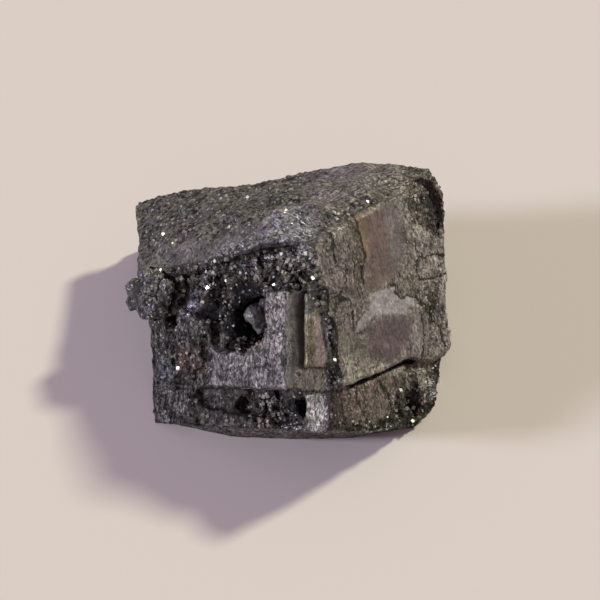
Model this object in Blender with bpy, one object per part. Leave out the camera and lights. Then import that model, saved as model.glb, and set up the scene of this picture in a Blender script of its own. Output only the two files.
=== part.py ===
"""Galena hand specimen: one cleaved block of lead ore that carries a lump of pale crystals on its left end
and a few pale crystals in a small cavity.

The block is modelled the way the mineral breaks. A closed cage gives the outer form, its skin is roughened,
and then slabs, ledges, columns, slots and pits are joined to it or cut from it along the cleavage faces.
All sizes are in millimetres and are turned into metres at the end. +Z is up, the stone rests on Z = 0, the
origin is a point of the flat foot near the middle of the footprint, and the stepped front faces -Y.
"""

import math
import random

import bmesh
import bpy
from mathutils import Matrix, Vector, geometry, noise

MM = 0.001

# ---------------------------------------------------------------- driving dimensions, mm
STACK_LEAN = 52.0  # the shared cleavage direction leans back this far from upright, degrees
FRONT_TURN = -33.0  # the stepped front face is turned to the left about that direction, degrees
RIGHT_TURN = 49.5  # the broad right face is turned to the right, degrees
RIGHT_ROLL = 11.2  # and rolled with the crooked ridge between the two, degrees
FRONT_ORIGIN = (6.5, -12.5, 24.0)  # a point of the front plate's own plane
RIGHT_ORIGIN = (3.6, -0.5, 31.0)  # the apex, a point of the right face's plane

BACK_WALL = 25.8  # the far wall stands about this far behind the origin
LEFT_WALL = -25.2  # and the left wall this far to the side

PLATE_DEPTH = 3.2  # how deep the front plate is rooted in the block
DRUSE_LEVEL = -1.9  # floor of the granular belt, below the plate's plane
LEDGE_LEVEL = -3.3  # floor of the lower recess, below the plate's plane
SLAB_STEP = 1.3  # height of the ledge along the foot of the right face
CAVITY_DEPTH = 5.2

SKIN_EDGE = 2.4  # spacing of the points of the roughened skin
FOOT_TRIM = 0.4  # the block starts this far below the table and is then cut level with it
WALL_ROWS = 5  # rows of faces down the side walls
SKIN_WAVE = 0.42  # height of the broad waves on it
SKIN_GRAIN = 0.2  # height of the finer lumps on it
CRYSTAL_GAP = 0.3  # clearance between the galena and the other mineral

# ---------------------------------------------------------------- outline of the block, mm
# The rim is the outline seen from the front and above. It runs left along the back, then down the left
# side, along the front and back up the right side.
BACK_RIM = [
    (17.5, 25.5, 21.5), (11.4, 25.0, 22.3), (5.0, 24.3, 21.5), (-5.4, 24.2, 18.0),
    (-14.3, 25.6, 15.4), (-23.8, 26.4, 12.7), (-27.4, 25.2, 11.2),
]
LEFT_RIM = [
    (-26.0, 16.1, 12.5), (-25.6, 8.6, 13.2), (-24.4, 4.2, 10.0), (-22.8, 0.9, 9.2),
    (-22.9, -2.9, 6.3), (-22.7, -8.6, 2.3), (-22.1, -12.5, 0.4),
]
FRONT_RIM = [
    (-9.6, -17.0, 6.2), (-0.3, -20.8, 11.0), (8.7, -23.0, 15.0), (19.6, -15.8, 4.1),
]
RIGHT_RIM = [
    (21.7, -12.8, 2.0), (24.4, -9.7, 1.0), (24.7, -6.2, 2.2), (25.0, -1.6, 3.4),
    (26.5, 0.3, 3.2), (26.8, 2.9, 4.2), (26.4, 6.1, 6.0), (26.3, 13.1, 9.5),
    (25.8, 16.2, 12.0), (26.2, 20.5, 13.9), (25.8, 23.6, 16.0), (23.3, 25.7, 19.9),
]
# The outline of the face the stone rests on, in the same order, starting at the back.
FOOT = [
    (12.0, 26.2), (-4.0, 26.0), (-18.0, 27.0), (-27.2, 25.6), (-25.0, 14.0), (-23.2, 2.0),
    (-21.6, -11.8), (-10.0, -14.9), (-0.2, -15.4), (9.0, -15.0), (19.4, -13.2), (23.4, -9.0),
    (24.6, 0.0), (24.8, 11.0), (24.0, 22.0),
]
FOOT_MIDDLE = Vector((0.0, 4.0))
# Ridges where the upper faces meet, each running away from the apex.
APEX = (3.3, -0.7, 31.0)
LEFT_RIDGE = [
    (-0.9, 2.2, 29.2), (-4.8, 3.3, 26.9), (-9.2, 4.1, 23.8), (-12.0, 4.3, 21.8),
    (-15.8, 5.0, 19.3), (-20.1, 6.1, 16.7), (-23.9, 7.7, 14.4),
]
BACK_RIDGE = [
    (7.5, 5.2, 28.8), (11.1, 9.7, 26.6), (14.9, 14.8, 24.2), (18.4, 18.6, 21.9), (20.6, 23.0, 21.2),
]
FRONT_RIDGE = [
    (4.0, -5.4, 28.2), (6.4, -7.3, 24.6), (6.3, -11.4, 22.7), (7.7, -15.2, 19.2), (8.5, -17.6, 17.4),
]

# Known heights inside the upper faces, so that each is one even surface between its edges. The top's are
# (x, y, z). The front's and the right's are (right, up, out) on those faces.
TOP_LEVELS = [
    (-1.0, 8.0, 28.2), (4.0, 9.0, 28.6), (-6.0, 9.0, 25.6), (-1.5, 14.0, 25.8), (5.0, 16.0, 26.0),
    (-8.0, 14.0, 23.2), (-14.0, 10.0, 20.6), (-12.0, 16.0, 19.8), (-2.0, 20.0, 21.8), (-9.0, 20.0, 19.0),
    (-19.0, 12.0, 17.2), (-17.0, 19.0, 16.4), (-22.0, 18.0, 14.4), (10.0, 16.0, 26.0), (12.0, 21.0, 24.0),
    (16.5, 22.0, 23.0),
]
FRONT_LEVELS = [
    (-30.0, 6.0, -0.9), (-24.0, 7.0, -0.5), (-16.0, 9.0, -0.3), (-8.0, 10.5, -0.3), (-24.0, 0.0, -0.3),
    (-16.0, 1.0, 0.0), (-8.0, 2.0, 0.0), (-2.0, 3.0, -0.4), (-32.0, -3.0, -1.6), (-24.0, -7.0, -0.5),
    (-16.0, -7.0, -0.2), (-8.0, -6.0, -0.2), (-2.0, -6.0, -0.6), (-28.0, -11.0, -1.6), (-18.0, -12.0, -1.0),
    (-8.0, -13.0, -0.8), (-2.0, -13.0, -0.8), (-1.0, 9.0, -0.3),
]
RIGHT_LEVELS = [
    (4.0, -2.0, 0.0), (10.0, 0.0, 0.0), (17.0, 2.0, 0.0), (24.0, 3.0, 0.0), (30.0, 3.0, -0.1),
    (4.0, -8.0, 0.0), (11.0, -7.0, 0.0), (18.0, -6.0, 0.0), (25.0, -5.0, 0.0), (30.0, -6.0, -0.2),
    (4.0, -15.0, 0.0), (11.0, -14.0, 0.0), (18.0, -14.0, 0.0), (25.0, -13.0, 0.0), (4.0, -22.0, -0.3),
    (11.0, -21.0, -0.3), (18.0, -21.0, -0.3), (24.0, -20.0, -0.3), (6.0, -27.0, -0.8), (14.0, -27.0, -0.8),
    (21.0, -26.0, -0.8),
]


# ---------------------------------------------------------------- frames and small tools
def face_frame(origin, turn, roll=0.0):
    """The frame of a cleavage face: X runs right along it, Y up along it and Z out of it."""
    lean = math.radians(STACK_LEAN)
    up = Vector((0, math.sin(lean), math.cos(lean)))
    out = Vector((0, -math.cos(lean), math.sin(lean)))
    across = Vector((1, 0, 0))
    rolled_across = across * math.cos(math.radians(roll)) + up * math.sin(math.radians(roll))
    rolled_up = up * math.cos(math.radians(roll)) - across * math.sin(math.radians(roll))
    t = math.radians(turn)
    x_axis = rolled_across * math.cos(t) - out * math.sin(t)
    z_axis = out * math.cos(t) + rolled_across * math.sin(t)
    axes = Matrix((x_axis, rolled_up, z_axis)).transposed().to_4x4()
    return Matrix.Translation(Vector(origin)) @ axes


FRONT = face_frame(FRONT_ORIGIN, FRONT_TURN)
RIGHT = face_frame(RIGHT_ORIGIN, RIGHT_TURN, RIGHT_ROLL)
TABLE = Matrix.Identity(4)
BACK = Matrix(((-1, 0, 0, 0), (0, 0, 1, BACK_WALL), (0, 1, 0, 0), (0, 0, 0, 1)))
LEFT = Matrix(((0, 0, -1, LEFT_WALL), (-1, 0, 0, 0), (0, 1, 0, 0), (0, 0, 0, 1)))


def clear_scene():
    for obj in list(bpy.data.objects):
        bpy.data.objects.remove(obj)


def material(name, colour, roughness, metallic, transmission=0.0):
    made = bpy.data.materials.new(name)
    made.use_nodes = True
    shader = made.node_tree.nodes["Principled BSDF"]
    shader.inputs["Base Color"].default_value = (*colour, 1.0)
    shader.inputs["Roughness"].default_value = roughness
    shader.inputs["Metallic"].default_value = metallic
    shader.inputs["Transmission Weight"].default_value = transmission
    return made


def object_from(name, bm, finish=None, collection=None):
    """A scene object holding this mesh, in metres."""
    bmesh.ops.scale(bm, vec=(MM, MM, MM), verts=bm.verts)
    mesh = bpy.data.meshes.new(name)
    bm.to_mesh(mesh)
    bm.free()
    obj = bpy.data.objects.new(name, mesh)
    (collection or bpy.context.scene.collection).objects.link(obj)
    if finish:
        mesh.materials.append(finish)
    return obj


def tool_collection(name):
    made = bpy.data.collections.new(name)
    bpy.context.scene.collection.children.link(made)
    return made


def as_tool(obj):
    """Marks a shape as a helper, which joins or cuts the block and isn't a piece of its own."""
    obj.hide_render = True
    obj.display_type = "WIRE"
    return obj


def prism(name, frame, outline, low, high, collection, top_scale=1.0):
    """A closed prism on a face: its outline lies in the face, and it runs from low to high out of the face.
    The high end can be scaled about the outline's middle."""
    middle = sum((Vector(p) for p in outline), Vector((0, 0))) / len(outline)
    bm = bmesh.new()
    foot = [bm.verts.new(frame @ Vector((x, y, low))) for x, y in outline]
    head = []
    for x, y in outline:
        at = middle + (Vector((x, y)) - middle) * top_scale
        head.append(bm.verts.new(frame @ Vector((at.x, at.y, high))))
    bm.faces.new(foot)
    bm.faces.new(head)
    for i in range(len(outline)):
        j = (i + 1) % len(outline)
        bm.faces.new((foot[i], foot[j], head[j], head[i]))
    bmesh.ops.recalc_face_normals(bm, faces=bm.faces)
    return as_tool(object_from(name, bm, collection=collection))


def bar(name, frame, section, start, end, collection):
    """A closed bar that runs up a face: the section is drawn across it, as (right, out) points."""
    bm = bmesh.new()
    low = [bm.verts.new(frame @ Vector((x, start, z))) for x, z in section]
    high = [bm.verts.new(frame @ Vector((x, end, z))) for x, z in section]
    bm.faces.new(low)
    bm.faces.new(high)
    for i in range(len(section)):
        j = (i + 1) % len(section)
        bm.faces.new((low[i], low[j], high[j], high[i]))
    bmesh.ops.recalc_face_normals(bm, faces=bm.faces)
    return as_tool(object_from(name, bm, collection=collection))


def rectangle(left, right, bottom, top):
    return [(left, bottom), (right, bottom), (right, top), (left, top)]


def add_boolean(obj, collection, operation):
    modifier = obj.modifiers.new(collection.name, "BOOLEAN")
    modifier.operation = operation
    modifier.operand_type = "COLLECTION"
    modifier.collection = collection
    modifier.solver = "EXACT"
    modifier.use_self = True
    return modifier


# ---------------------------------------------------------------- the block
def strung(points, spacing):
    """The same open line, with points added so that no gap along it is wider than spacing."""
    line = [Vector(points[0])]
    for point in points[1:]:
        start = line[-1]
        end = Vector(point)
        steps = max(1, round((end - start).length / spacing))
        line += [start.lerp(end, (i + 1) / steps) for i in range(steps)]
    return line


def inside(point, outline):
    """Whether a point of the plane is inside this closed outline."""
    found = False
    for a, b in zip(outline, outline[1:] + outline[:1]):
        if (a.y > point.y) != (b.y > point.y):
            if point.x < a.x + (b.x - a.x) * (point.y - a.y) / (b.y - a.y):
                found = not found
    return found


def level_at(point, guides):
    """A height spread smoothly over a face from known heights: near ones count for most."""
    weight = 0.0
    total = 0.0
    for guide in guides:
        share = 1.0 / ((guide.xy - point).length_squared + 0.02) ** 1.6
        weight += share
        total += share * guide.z
    return total / weight


def skin(bm, frame, rim_verts, known, spacing, rng):
    """Fills one face of the block with triangles. rim_verts go round its edge; known are (right, up, out)
    points of the face's frame that its surface passes near."""
    inverse = frame.inverted()
    rim = [inverse @ v.co for v in rim_verts]
    outline = [p.xy for p in rim]
    guides = rim + [Vector(p) for p in known]
    low = Vector((min(p.x for p in outline), min(p.y for p in outline)))
    high = Vector((max(p.x for p in outline), max(p.y for p in outline)))
    points = list(outline)
    row_step = spacing * 0.87
    for row in range(int((high.y - low.y) / row_step) + 1):
        for column in range(int((high.x - low.x) / spacing) + 1):
            x = low.x + (column + 0.5 * (row % 2)) * spacing + rng.uniform(-0.25, 0.25) * spacing
            y = low.y + row * row_step + rng.uniform(-0.25, 0.25) * spacing
            at = Vector((x, y))
            nearest = min((at - p).length for p in outline)
            if nearest > 0.62 * spacing and inside(at, outline):
                points.append(at)
    ring = [(i, (i + 1) % len(outline)) for i in range(len(outline))]
    flat, _, triangles, origins, _, _ = geometry.delaunay_2d_cdt(points, ring, [], 1, 1e-5)
    verts = []
    for at, origin in zip(flat, origins):
        if origin and origin[0] < len(rim_verts):
            verts.append(rim_verts[origin[0]])
        else:
            verts.append(bm.verts.new(frame @ Vector((at.x, at.y, level_at(at, guides)))))
    for triangle in triangles:
        bm.faces.new([verts[i] for i in triangle])


def foot_under(point):
    """Where a line from the foot's middle through this point, seen from above, crosses the foot's edge."""
    heading = (Vector(point[:2]) - FOOT_MIDDLE).normalized()
    for a, b in zip(FOOT, FOOT[1:] + FOOT[:1]):
        hit = geometry.intersect_line_line_2d(FOOT_MIDDLE, FOOT_MIDDLE + heading * 100, a, b)
        if hit:
            return Vector((hit.x, hit.y, -FOOT_TRIM))
    raise ValueError("the foot isn't a closed outline round its middle")


def side_walls(bm, rim):
    """Walls from the rim down to the foot in even rows, and the flat foot itself."""
    rows = [rim]
    for row in range(WALL_ROWS):
        share = (row + 1) / WALL_ROWS
        rows.append([bm.verts.new(v.co.lerp(foot_under(v.co), share)) for v in rim])
    for upper, lower in zip(rows, rows[1:]):
        for i in range(len(rim)):
            j = (i + 1) % len(rim)
            bm.faces.new((upper[i], upper[j], lower[j], lower[i]))
    bm.faces.new(rows[-1])


def build_cage():
    """The closed outer form: three upper faces, side walls and the flat foot on the table."""
    rng = random.Random(17)
    bm = bmesh.new()
    apex = bm.verts.new(APEX)

    def line(points, start=None, end=None):
        """The new vertices along these points. start and end are vertices that are already there."""
        ends = ([start.co] if start else []) + list(points) + ([end.co] if end else [])
        strand = strung(ends, SKIN_EDGE)
        strand = strand[1:] if start else strand
        strand = strand[:-1] if end else strand
        return [bm.verts.new(p) for p in strand]

    left_top = bm.verts.new(LEFT_RIM[1])
    front_point = bm.verts.new(FRONT_RIM[2])
    right_top = bm.verts.new(RIGHT_RIM[-1])
    left_ridge = line(LEFT_RIDGE, apex, left_top)
    back_ridge = line(BACK_RIDGE, apex, right_top)
    front_ridge = line(FRONT_RIDGE, apex, front_point)
    back = line(BACK_RIM + LEFT_RIM[:1], right_top, left_top)
    left = line(LEFT_RIM[2:] + FRONT_RIM[:2], left_top, front_point)
    right = line(FRONT_RIM[3:] + RIGHT_RIM[:-1], front_point, right_top)

    top = [apex] + left_ridge + [left_top] + back[::-1] + [right_top] + back_ridge[::-1]
    front = [apex] + left_ridge + [left_top] + left + [front_point] + front_ridge[::-1]
    side = [apex] + front_ridge + [front_point] + right + [right_top] + back_ridge[::-1]
    skin(bm, TABLE, top, TOP_LEVELS, SKIN_EDGE, rng)
    skin(bm, FRONT, front, FRONT_LEVELS, SKIN_EDGE, rng)
    skin(bm, RIGHT, side, RIGHT_LEVELS, SKIN_EDGE, rng)

    side_walls(bm, [right_top] + back + [left_top] + left + [front_point] + right)
    bmesh.ops.triangulate(bm, faces=bm.faces)
    bmesh.ops.recalc_face_normals(bm, faces=bm.faces)
    return bm


def roughen(bm):
    """Moves the skin in and out by noise."""
    bm.normal_update()
    moves = {}
    for v in bm.verts:
        wave = noise.noise(v.co * 0.16 + Vector((7.0, 3.0, 1.0)))
        grain = noise.noise(v.co * 0.55 + Vector((2.0, 9.0, 4.0)))
        moves[v] = v.normal * (SKIN_WAVE * wave + SKIN_GRAIN * grain)
    for v, move in moves.items():
        v.co += move


# ---------------------------------------------------------------- what the hammer took away
def cut_front(cuts):
    """Shallow recesses of the stepped front face, outlines in (right, up) on that face."""
    belt = [
        (-34.0, 8.6), (-31.5, 9.0), (-26.6, 9.8), (-22.0, 10.8), (-18.7, 12.0), (-13.4, 13.2),
        (-8.8, 13.7), (-5.0, 12.6), (-2.6, 9.6), (-0.4, 6.6), (-0.2, 3.2), (-2.2, 4.6), (-3.6, 6.6),
        (-8.2, 7.2), (-12.6, 6.9), (-13.2, 3.0), (-13.4, -1.0), (-16.0, -2.6), (-19.0, -2.2),
        (-20.5, -3.8), (-23.0, -1.6), (-23.6, 2.0), (-27.0, 3.2), (-30.4, 4.2), (-33.6, 5.5),
    ]
    prism("granular_belt", FRONT, belt, DRUSE_LEVEL, 6.0, cuts)
    gap = [(-0.5, 3.8), (0.7, 5.6), (1.5, 2.0), (1.0, -3.0), (1.6, -8.0), (0.0, -8.6), (-0.4, -4.0)]
    prism("gap_beside_columns", FRONT, gap, -3.0, 6.0, cuts)
    lower = [(-26.0, -8.5), (-1.0, -8.5), (-0.6, -20.0), (-26.5, -20.0)]
    prism("lower_front", FRONT, lower, -1.0, 6.0, cuts)
    recess = [
        (-18.4, -8.6), (-14.0, -8.5), (-5.8, -8.6), (-5.7, -10.5), (-6.4, -13.4), (-12.0, -13.6),
        (-17.0, -12.9),
    ]
    prism("lower_recess", FRONT, recess, LEDGE_LEVEL, 6.0, cuts, top_scale=1.06)
    shallow_end = [
        (-26.6, -8.8), (-21.0, -8.5), (-16.0, -8.5), (-15.6, -12.6), (-20.6, -12.4), (-25.4, -11.6),
    ]
    prism("shallow_recess", FRONT, shallow_end, -2.1, 6.0, cuts, top_scale=1.1)
    left_step = [
        (-37.0, 2.6), (-30.5, 3.0), (-27.0, 1.6), (-24.0, 0.5), (-23.4, -4.0), (-25.2, -8.0),
        (-29.5, -9.2), (-37.0, -8.4),
    ]
    prism("left_step", FRONT, left_step, -0.8, 6.0, cuts)
    bar("step_face", FRONT, [(-8.1, 0.1), (-1.6, -2.3), (-1.6, 4.0), (-8.1, 4.0)], -8.4, 7.2, cuts)


def cut_right(cuts):
    """The layer that broke away along the foot of the right face."""
    layer = [
        (-3.0, -21.9), (9.4, -21.4), (14.1, -20.9), (17.7, -20.6), (21.7, -21.7), (24.5, -22.1),
        (34.0, -21.4), (34.0, -36.0), (-3.0, -36.0),
    ]
    prism("lower_layer", RIGHT, layer, -SLAB_STEP, 6.0, cuts)
    hollow = [(13.6, -26.4), (18.8, -25.6), (20.4, -28.6), (17.0, -31.4), (13.0, -29.8)]
    prism("lower_hollow", RIGHT, hollow, -2.7, 6.0, cuts, top_scale=1.1)


def cut_hidden_sides(cuts):
    """Cleavage steps of the far and left walls: (right, up) outlines on each wall, and a floor level."""
    back_steps = [
        ([(-26.0, 11.5), (-8.0, 10.4), (-8.6, 4.6), (-26.0, 5.2)], -1.3),
        ([(-9.5, 16.0), (5.0, 17.4), (4.2, 8.8), (-9.0, 9.6)], -0.9),
        ([(6.0, 10.2), (30.0, 8.6), (30.0, 3.4), (6.8, 4.6)], -1.4),
        ([(-30.0, 4.0), (-14.0, 3.6), (-14.6, -1.0), (-30.0, -1.0)], -1.8),
    ]
    for i, (outline, level) in enumerate(back_steps):
        prism(f"back_step_{i + 1}", BACK, outline, level, 12.0, cuts)
    left_steps = [
        ([(-20.0, 9.0), (-11.4, 8.4), (-11.0, 4.2), (-20.0, 3.4)], -0.7),
        ([(-12.0, 6.0), (-2.4, 6.8), (-2.0, 1.6), (-11.4, 2.2)], -0.8),
        ([(-24.0, 3.6), (-13.0, 3.2), (-13.4, -1.0), (-24.0, -1.0)], -1.6),
    ]
    for i, (outline, level) in enumerate(left_steps):
        prism(f"left_step_{i + 1}", LEFT, outline, level, 12.0, cuts)


# ---------------------------------------------------------------- what stands proud
def join_front(joins):
    """The plate, the columns beside it and the blocks below it."""
    plate = [
        (-8.1, 7.0), (-12.2, 6.8), (-12.5, 4.2), (-12.0, 1.0), (-12.7, -0.9), (-14.2, -1.3),
        (-15.5, -1.9), (-16.4, -3.5), (-17.1, -2.1), (-18.7, -1.5), (-19.9, -2.6), (-21.5, -2.9),
        (-22.4, -4.6), (-22.6, -6.6), (-23.4, -8.3), (-8.1, -8.4),
    ]
    prism("front_plate", FRONT, plate, -PLATE_DEPTH, 0.35, joins)
    column = [(-5.2, -3.8), (-5.2, 0.35), (-4.6, 0.6), (-2.0, -0.75), (-2.0, -3.8)]
    bar("wide_column", FRONT, column, -4.8, 6.4, joins)
    thin_column = [(-1.75, -3.8), (-1.75, -0.6), (-1.35, -0.4), (-0.55, -0.95), (-0.55, -3.8)]
    bar("thin_column", FRONT, thin_column, -4.1, 2.8, joins)
    shelf = [(-9.8, -8.2), (-4.8, -8.2), (-5.0, -9.3), (-9.1, -9.6)]
    prism("small_shelf", FRONT, shelf, -4.0, -0.5, joins)
    bright = [(-5.7, -8.6), (-0.9, -8.4), (-0.6, -14.0), (-3.0, -14.8), (-6.4, -14.4), (-5.3, -11.2)]
    prism("bright_block", FRONT, bright, -4.4, -0.3, joins)
    left_plates = [
        [(-29.6, -1.0), (-25.2, -0.4), (-24.6, -5.4), (-28.4, -6.4), (-30.6, -4.0)],
        [(-34.4, -3.0), (-31.4, -2.2), (-31.0, -7.6), (-34.6, -8.0)],
    ]
    for i, outline in enumerate(left_plates):
        prism(f"left_plate_{i + 1}", FRONT, outline, -2.6, -0.1 - 0.3 * i, joins)


def join_right(joins):
    """The broad slab of the right face and the blocks that are left of the layer below it."""
    slab = [
        (-0.5, -0.2), (-1.0, -1.2), (-1.2, -5.6), (1.7, -9.6), (-0.2, -13.9), (0.5, -19.3), (1.7, -21.8),
        (5.4, -21.2), (9.4, -21.2), (14.1, -20.6), (17.7, -20.3), (21.7, -21.5), (24.5, -21.8),
        (26.9, -21.2), (29.0, -20.4), (30.3, -18.0), (30.2, -14.4), (32.2, -7.0), (32.0, -2.7),
        (33.0, 0.4), (32.4, 5.4), (29.0, 8.0), (25.4, 6.0), (19.7, 5.2), (12.9, 3.2), (6.9, 2.0),
    ]
    prism("right_slab", RIGHT, slab, -3.6, 0.3, joins)
    blocks = [
        ([(14.2, -22.6), (17.2, -22.2), (17.4, -25.8), (14.6, -26.4)], -0.7),
        ([(18.8, -22.6), (23.0, -23.0), (23.2, -26.6), (19.4, -27.2)], -0.5),
        ([(0.6, -22.4), (4.6, -22.3), (12.4, -21.8), (13.0, -26.6), (8.0, -29.6), (2.6, -29.0)], -0.9),
    ]
    for i, (outline, level) in enumerate(blocks):
        prism(f"lower_block_{i + 1}", RIGHT, outline, -3.6, level, joins)


def cube_verts(centre, size, turn):
    return [
        centre + turn @ (Vector((x, y, z)) * size / 2)
        for x in (-1, 1) for y in (-1, 1) for z in (-1, 1)
    ]


CUBE_FACES = [(0, 1, 3, 2), (4, 6, 7, 5), (0, 4, 5, 1), (2, 3, 7, 6), (0, 2, 6, 4), (1, 5, 7, 3)]
# Where small galena cubes stand out of the front: (count, right, up, out, smallest, largest edge).
CUBE_FIELDS = [
    (26, (-31.5, -22.0), (5.0, 9.2), (-2.1, -1.4), 0.9, 1.8),
    (34, (-22.0, -5.0), (8.2, 12.0), (-2.1, -1.4), 0.9, 1.9),
    (14, (-22.5, -19.8), (-2.6, 5.0), (-2.1, -1.5), 0.8, 1.6),
    (5, (-3.4, -1.8), (6.8, 8.4), (-2.4, -1.7), 0.8, 1.3),
    (16, (-23.0, -7.0), (-12.4, -9.2), (-3.6, -3.0), 0.9, 1.8),
    (14, (-33.0, -25.0), (-13.0, 0.0), (-1.2, -0.7), 0.8, 1.6),
]


def join_cubes(joins):
    """Small cubes of galena, grown at all angles on the granular parts of the front."""
    rng = random.Random(41)
    bm = bmesh.new()
    for count, across, along, level, smallest, largest in CUBE_FIELDS:
        for _ in range(count):
            at = FRONT @ Vector((rng.uniform(*across), rng.uniform(*along), rng.uniform(*level)))
            axis = Vector((rng.uniform(-1, 1), rng.uniform(-1, 1), rng.uniform(-1, 1))).normalized()
            turn = Matrix.Rotation(rng.uniform(0, math.pi), 3, axis)
            corners = [bm.verts.new(p) for p in cube_verts(at, rng.uniform(smallest, largest), turn)]
            for face in CUBE_FACES:
                bm.faces.new([corners[i] for i in face])
    bmesh.ops.recalc_face_normals(bm, faces=bm.faces)
    as_tool(object_from("druse_cubes", bm, collection=joins))


# ---------------------------------------------------------------- last, sharp cuts
def cut_details(details):
    """Slots, pits, fissures and the level foot, cut once everything that stands proud is on."""
    prism("under_the_table", TABLE, rectangle(-60, 60, -60, 60), -20.0, 0.0, details)
    cavity = [
        (-19.2, 3.4), (-18.6, 0.6), (-17.5, -0.9), (-16.7, -2.6), (-15.9, -1.6), (-14.6, -0.9),
        (-13.4, -0.4), (-13.0, 2.6), (-13.6, 5.0), (-15.2, 6.0), (-17.6, 5.5),
    ]
    prism("cavity", FRONT, cavity, -CAVITY_DEPTH, 3.0, details, top_scale=1.22)
    slot = [(-7.5, -0.15), (-6.6, -0.8), (-5.9, -1.8), (-5.3, -3.2), (-5.2, 2.0), (-7.5, 2.0)]
    bar("slot", FRONT, slot, -5.0, 6.6, details)
    bar("column_seam", FRONT, [(-2.1, -2.6), (-1.85, -2.6), (-1.75, 1.0), (-2.25, 1.0)], -6.0, 3.6, details)
    notch = [(-33.4, 2.6), (-30.2, 3.0), (-30.4, 1.4), (-31.8, 0.6)]
    prism("notch_under_crystals", FRONT, notch, -3.4, 3.0, details)
    wedge = [(-20.0, -11.6), (-18.4, -9.6), (-16.2, -11.8), (-18.0, -12.5)]
    prism("wedge_hole", FRONT, wedge, -3.9, 3.0, details)
    hole = [(-9.3, -9.9), (-5.9, -10.0), (-5.7, -11.9), (-7.2, -12.9), (-8.8, -11.9)]
    prism("hole_under_shelf", FRONT, hole, -5.6, 3.0, details)
    for i in range(6):
        at = -34.6 + 1.75 * i
        section = [(at - 0.35, 2.0), (at, -1.7 - 0.25 * (i % 2)), (at + 0.35, 2.0)]
        bar(f"stria_{i + 1}", FRONT, section, -17.0, -9.4 - 0.8 * (i % 3), details)
    for i, at in enumerate((-2.0, -1.25, 0.1)):
        section = [(at - 0.16, 3.0), (at, -1.6), (at + 0.16, 3.0)]
        bar(f"fissure_{i + 1}", FRONT, section, -15.5, -8.2, details)
    crack = [
        (2.6, -22.3), (9.4, -21.8), (14.1, -21.3), (17.7, -21.0), (20.6, -21.6), (20.6, -20.7),
        (17.7, -19.7), (14.1, -20.1), (9.4, -20.6), (2.6, -21.2),
    ]
    prism("crack_under_slab", RIGHT, crack, -3.0, -0.8, details)
    pit = [
        (27.0, 0.8), (26.6, 4.4), (27.2, 7.4), (30.5, 8.2), (33.2, 7.4), (34.6, 3.6), (34.0, -0.8),
        (33.0, -0.6), (31.6, -2.4), (29.6, 0.0),
    ]
    prism("corner_pit", RIGHT, pit, -1.5, 6.0, details)
    for i, (at, low, high) in enumerate(((8.3, -7.5, 2.0), (5.2, -14.2, -10.2), (21.6, -14.5, -4.0))):
        section = [(at - 0.2, 2.0), (at, -1.1), (at + 0.25, 2.0)]
        bar(f"face_crack_{i + 1}", RIGHT, section, low, high, details)


# ---------------------------------------------------------------- pale crystals
# Each crystal is (right, up, out) on the front face, its size, and how long it is against its width.
CLUSTER_CRYSTALS = [
    ((-36.2, 6.3, 0.6), 4.3, 1.15), ((-35.6, 3.9, 0.2), 3.6, 1.1), ((-33.9, 6.9, 0.9), 3.7, 1.0),
    ((-33.2, 4.2, 0.9), 3.4, 1.2), ((-35.0, 8.2, -0.8), 3.0, 1.0), ((-37.2, 4.6, -1.8), 3.2, 1.2),
    ((-34.4, 5.4, 2.0), 2.7, 1.0), ((-32.0, 5.8, 0.5), 2.6, 1.1), ((-37.5, 7.3, 0.9), 3.4, 1.0),
    ((-37.4, 5.2, 0.9), 3.4, 1.0), ((-35.8, 9.2, 0.0), 2.6, 1.1), ((-33.2, 8.6, 0.7), 2.6, 1.0),
    ((-31.4, 7.4, 0.5), 2.2, 1.1),
]
CAVITY_CRYSTALS = [
    ((-16.0, 2.8, -2.7), 3.1, 1.5), ((-14.9, 4.5, -3.6), 2.1, 1.3), ((-18.0, 3.3, -4.1), 2.0, 1.8),
    ((-16.4, 1.4, -4.5), 2.6, 1.2), ((-16.4, 3.4, -4.6), 3.0, 1.2),
]


def crystal_shapes(crystals, seed, swell):
    """One closed stubby crystal with bevelled corners for each entry, every side widened by swell."""
    rng = random.Random(seed)
    shapes = []
    for at, size, length in crystals:
        axis = Vector((rng.uniform(-1, 1), rng.uniform(-0.3, 1), rng.uniform(-0.4, 0.6))).normalized()
        turn = axis.to_track_quat("Z", "Y").to_matrix() @ Matrix.Rotation(rng.uniform(0, 1.5), 3, "Z")
        reach = Vector((size, size, size * length)) / 2 + Vector((swell, swell, swell))
        bm = bmesh.new()
        for v in bmesh.ops.create_icosphere(bm, subdivisions=1, radius=1.22)["verts"]:
            boxed = Vector([max(-1.0, min(1.0, c)) for c in v.co])
            v.co = FRONT @ (Vector(at) + turn @ (boxed * reach))
        bmesh.ops.recalc_face_normals(bm, faces=bm.faces)
        shapes.append(bm)
    return shapes


def fused(name, shapes, finish=None, collection=None):
    """One object made of all these closed shapes, joined where they overlap."""
    first, *others = shapes
    piece = object_from(name, first, finish, collection)
    grown = tool_collection(name + "_others")
    for i, bm in enumerate(others):
        as_tool(object_from(f"{name}_{i + 2}", bm, collection=grown))
    add_boolean(piece, grown, "UNION")
    return piece


def crystal_piece(name, crystals, seed, finish, sockets):
    """The fused crystals as one piece, and the socket they sit in, which is cut from the block."""
    fused(name, crystal_shapes(crystals, seed, 0.0), finish)
    socket = crystal_shapes(crystals, seed, 1.5 * CRYSTAL_GAP)
    as_tool(fused(name + "_socket", socket, collection=sockets))


# ---------------------------------------------------------------- the specimen
def galena_block(finish):
    bm = build_cage()
    roughen(bm)
    return object_from("galena_block", bm, finish)


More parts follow.
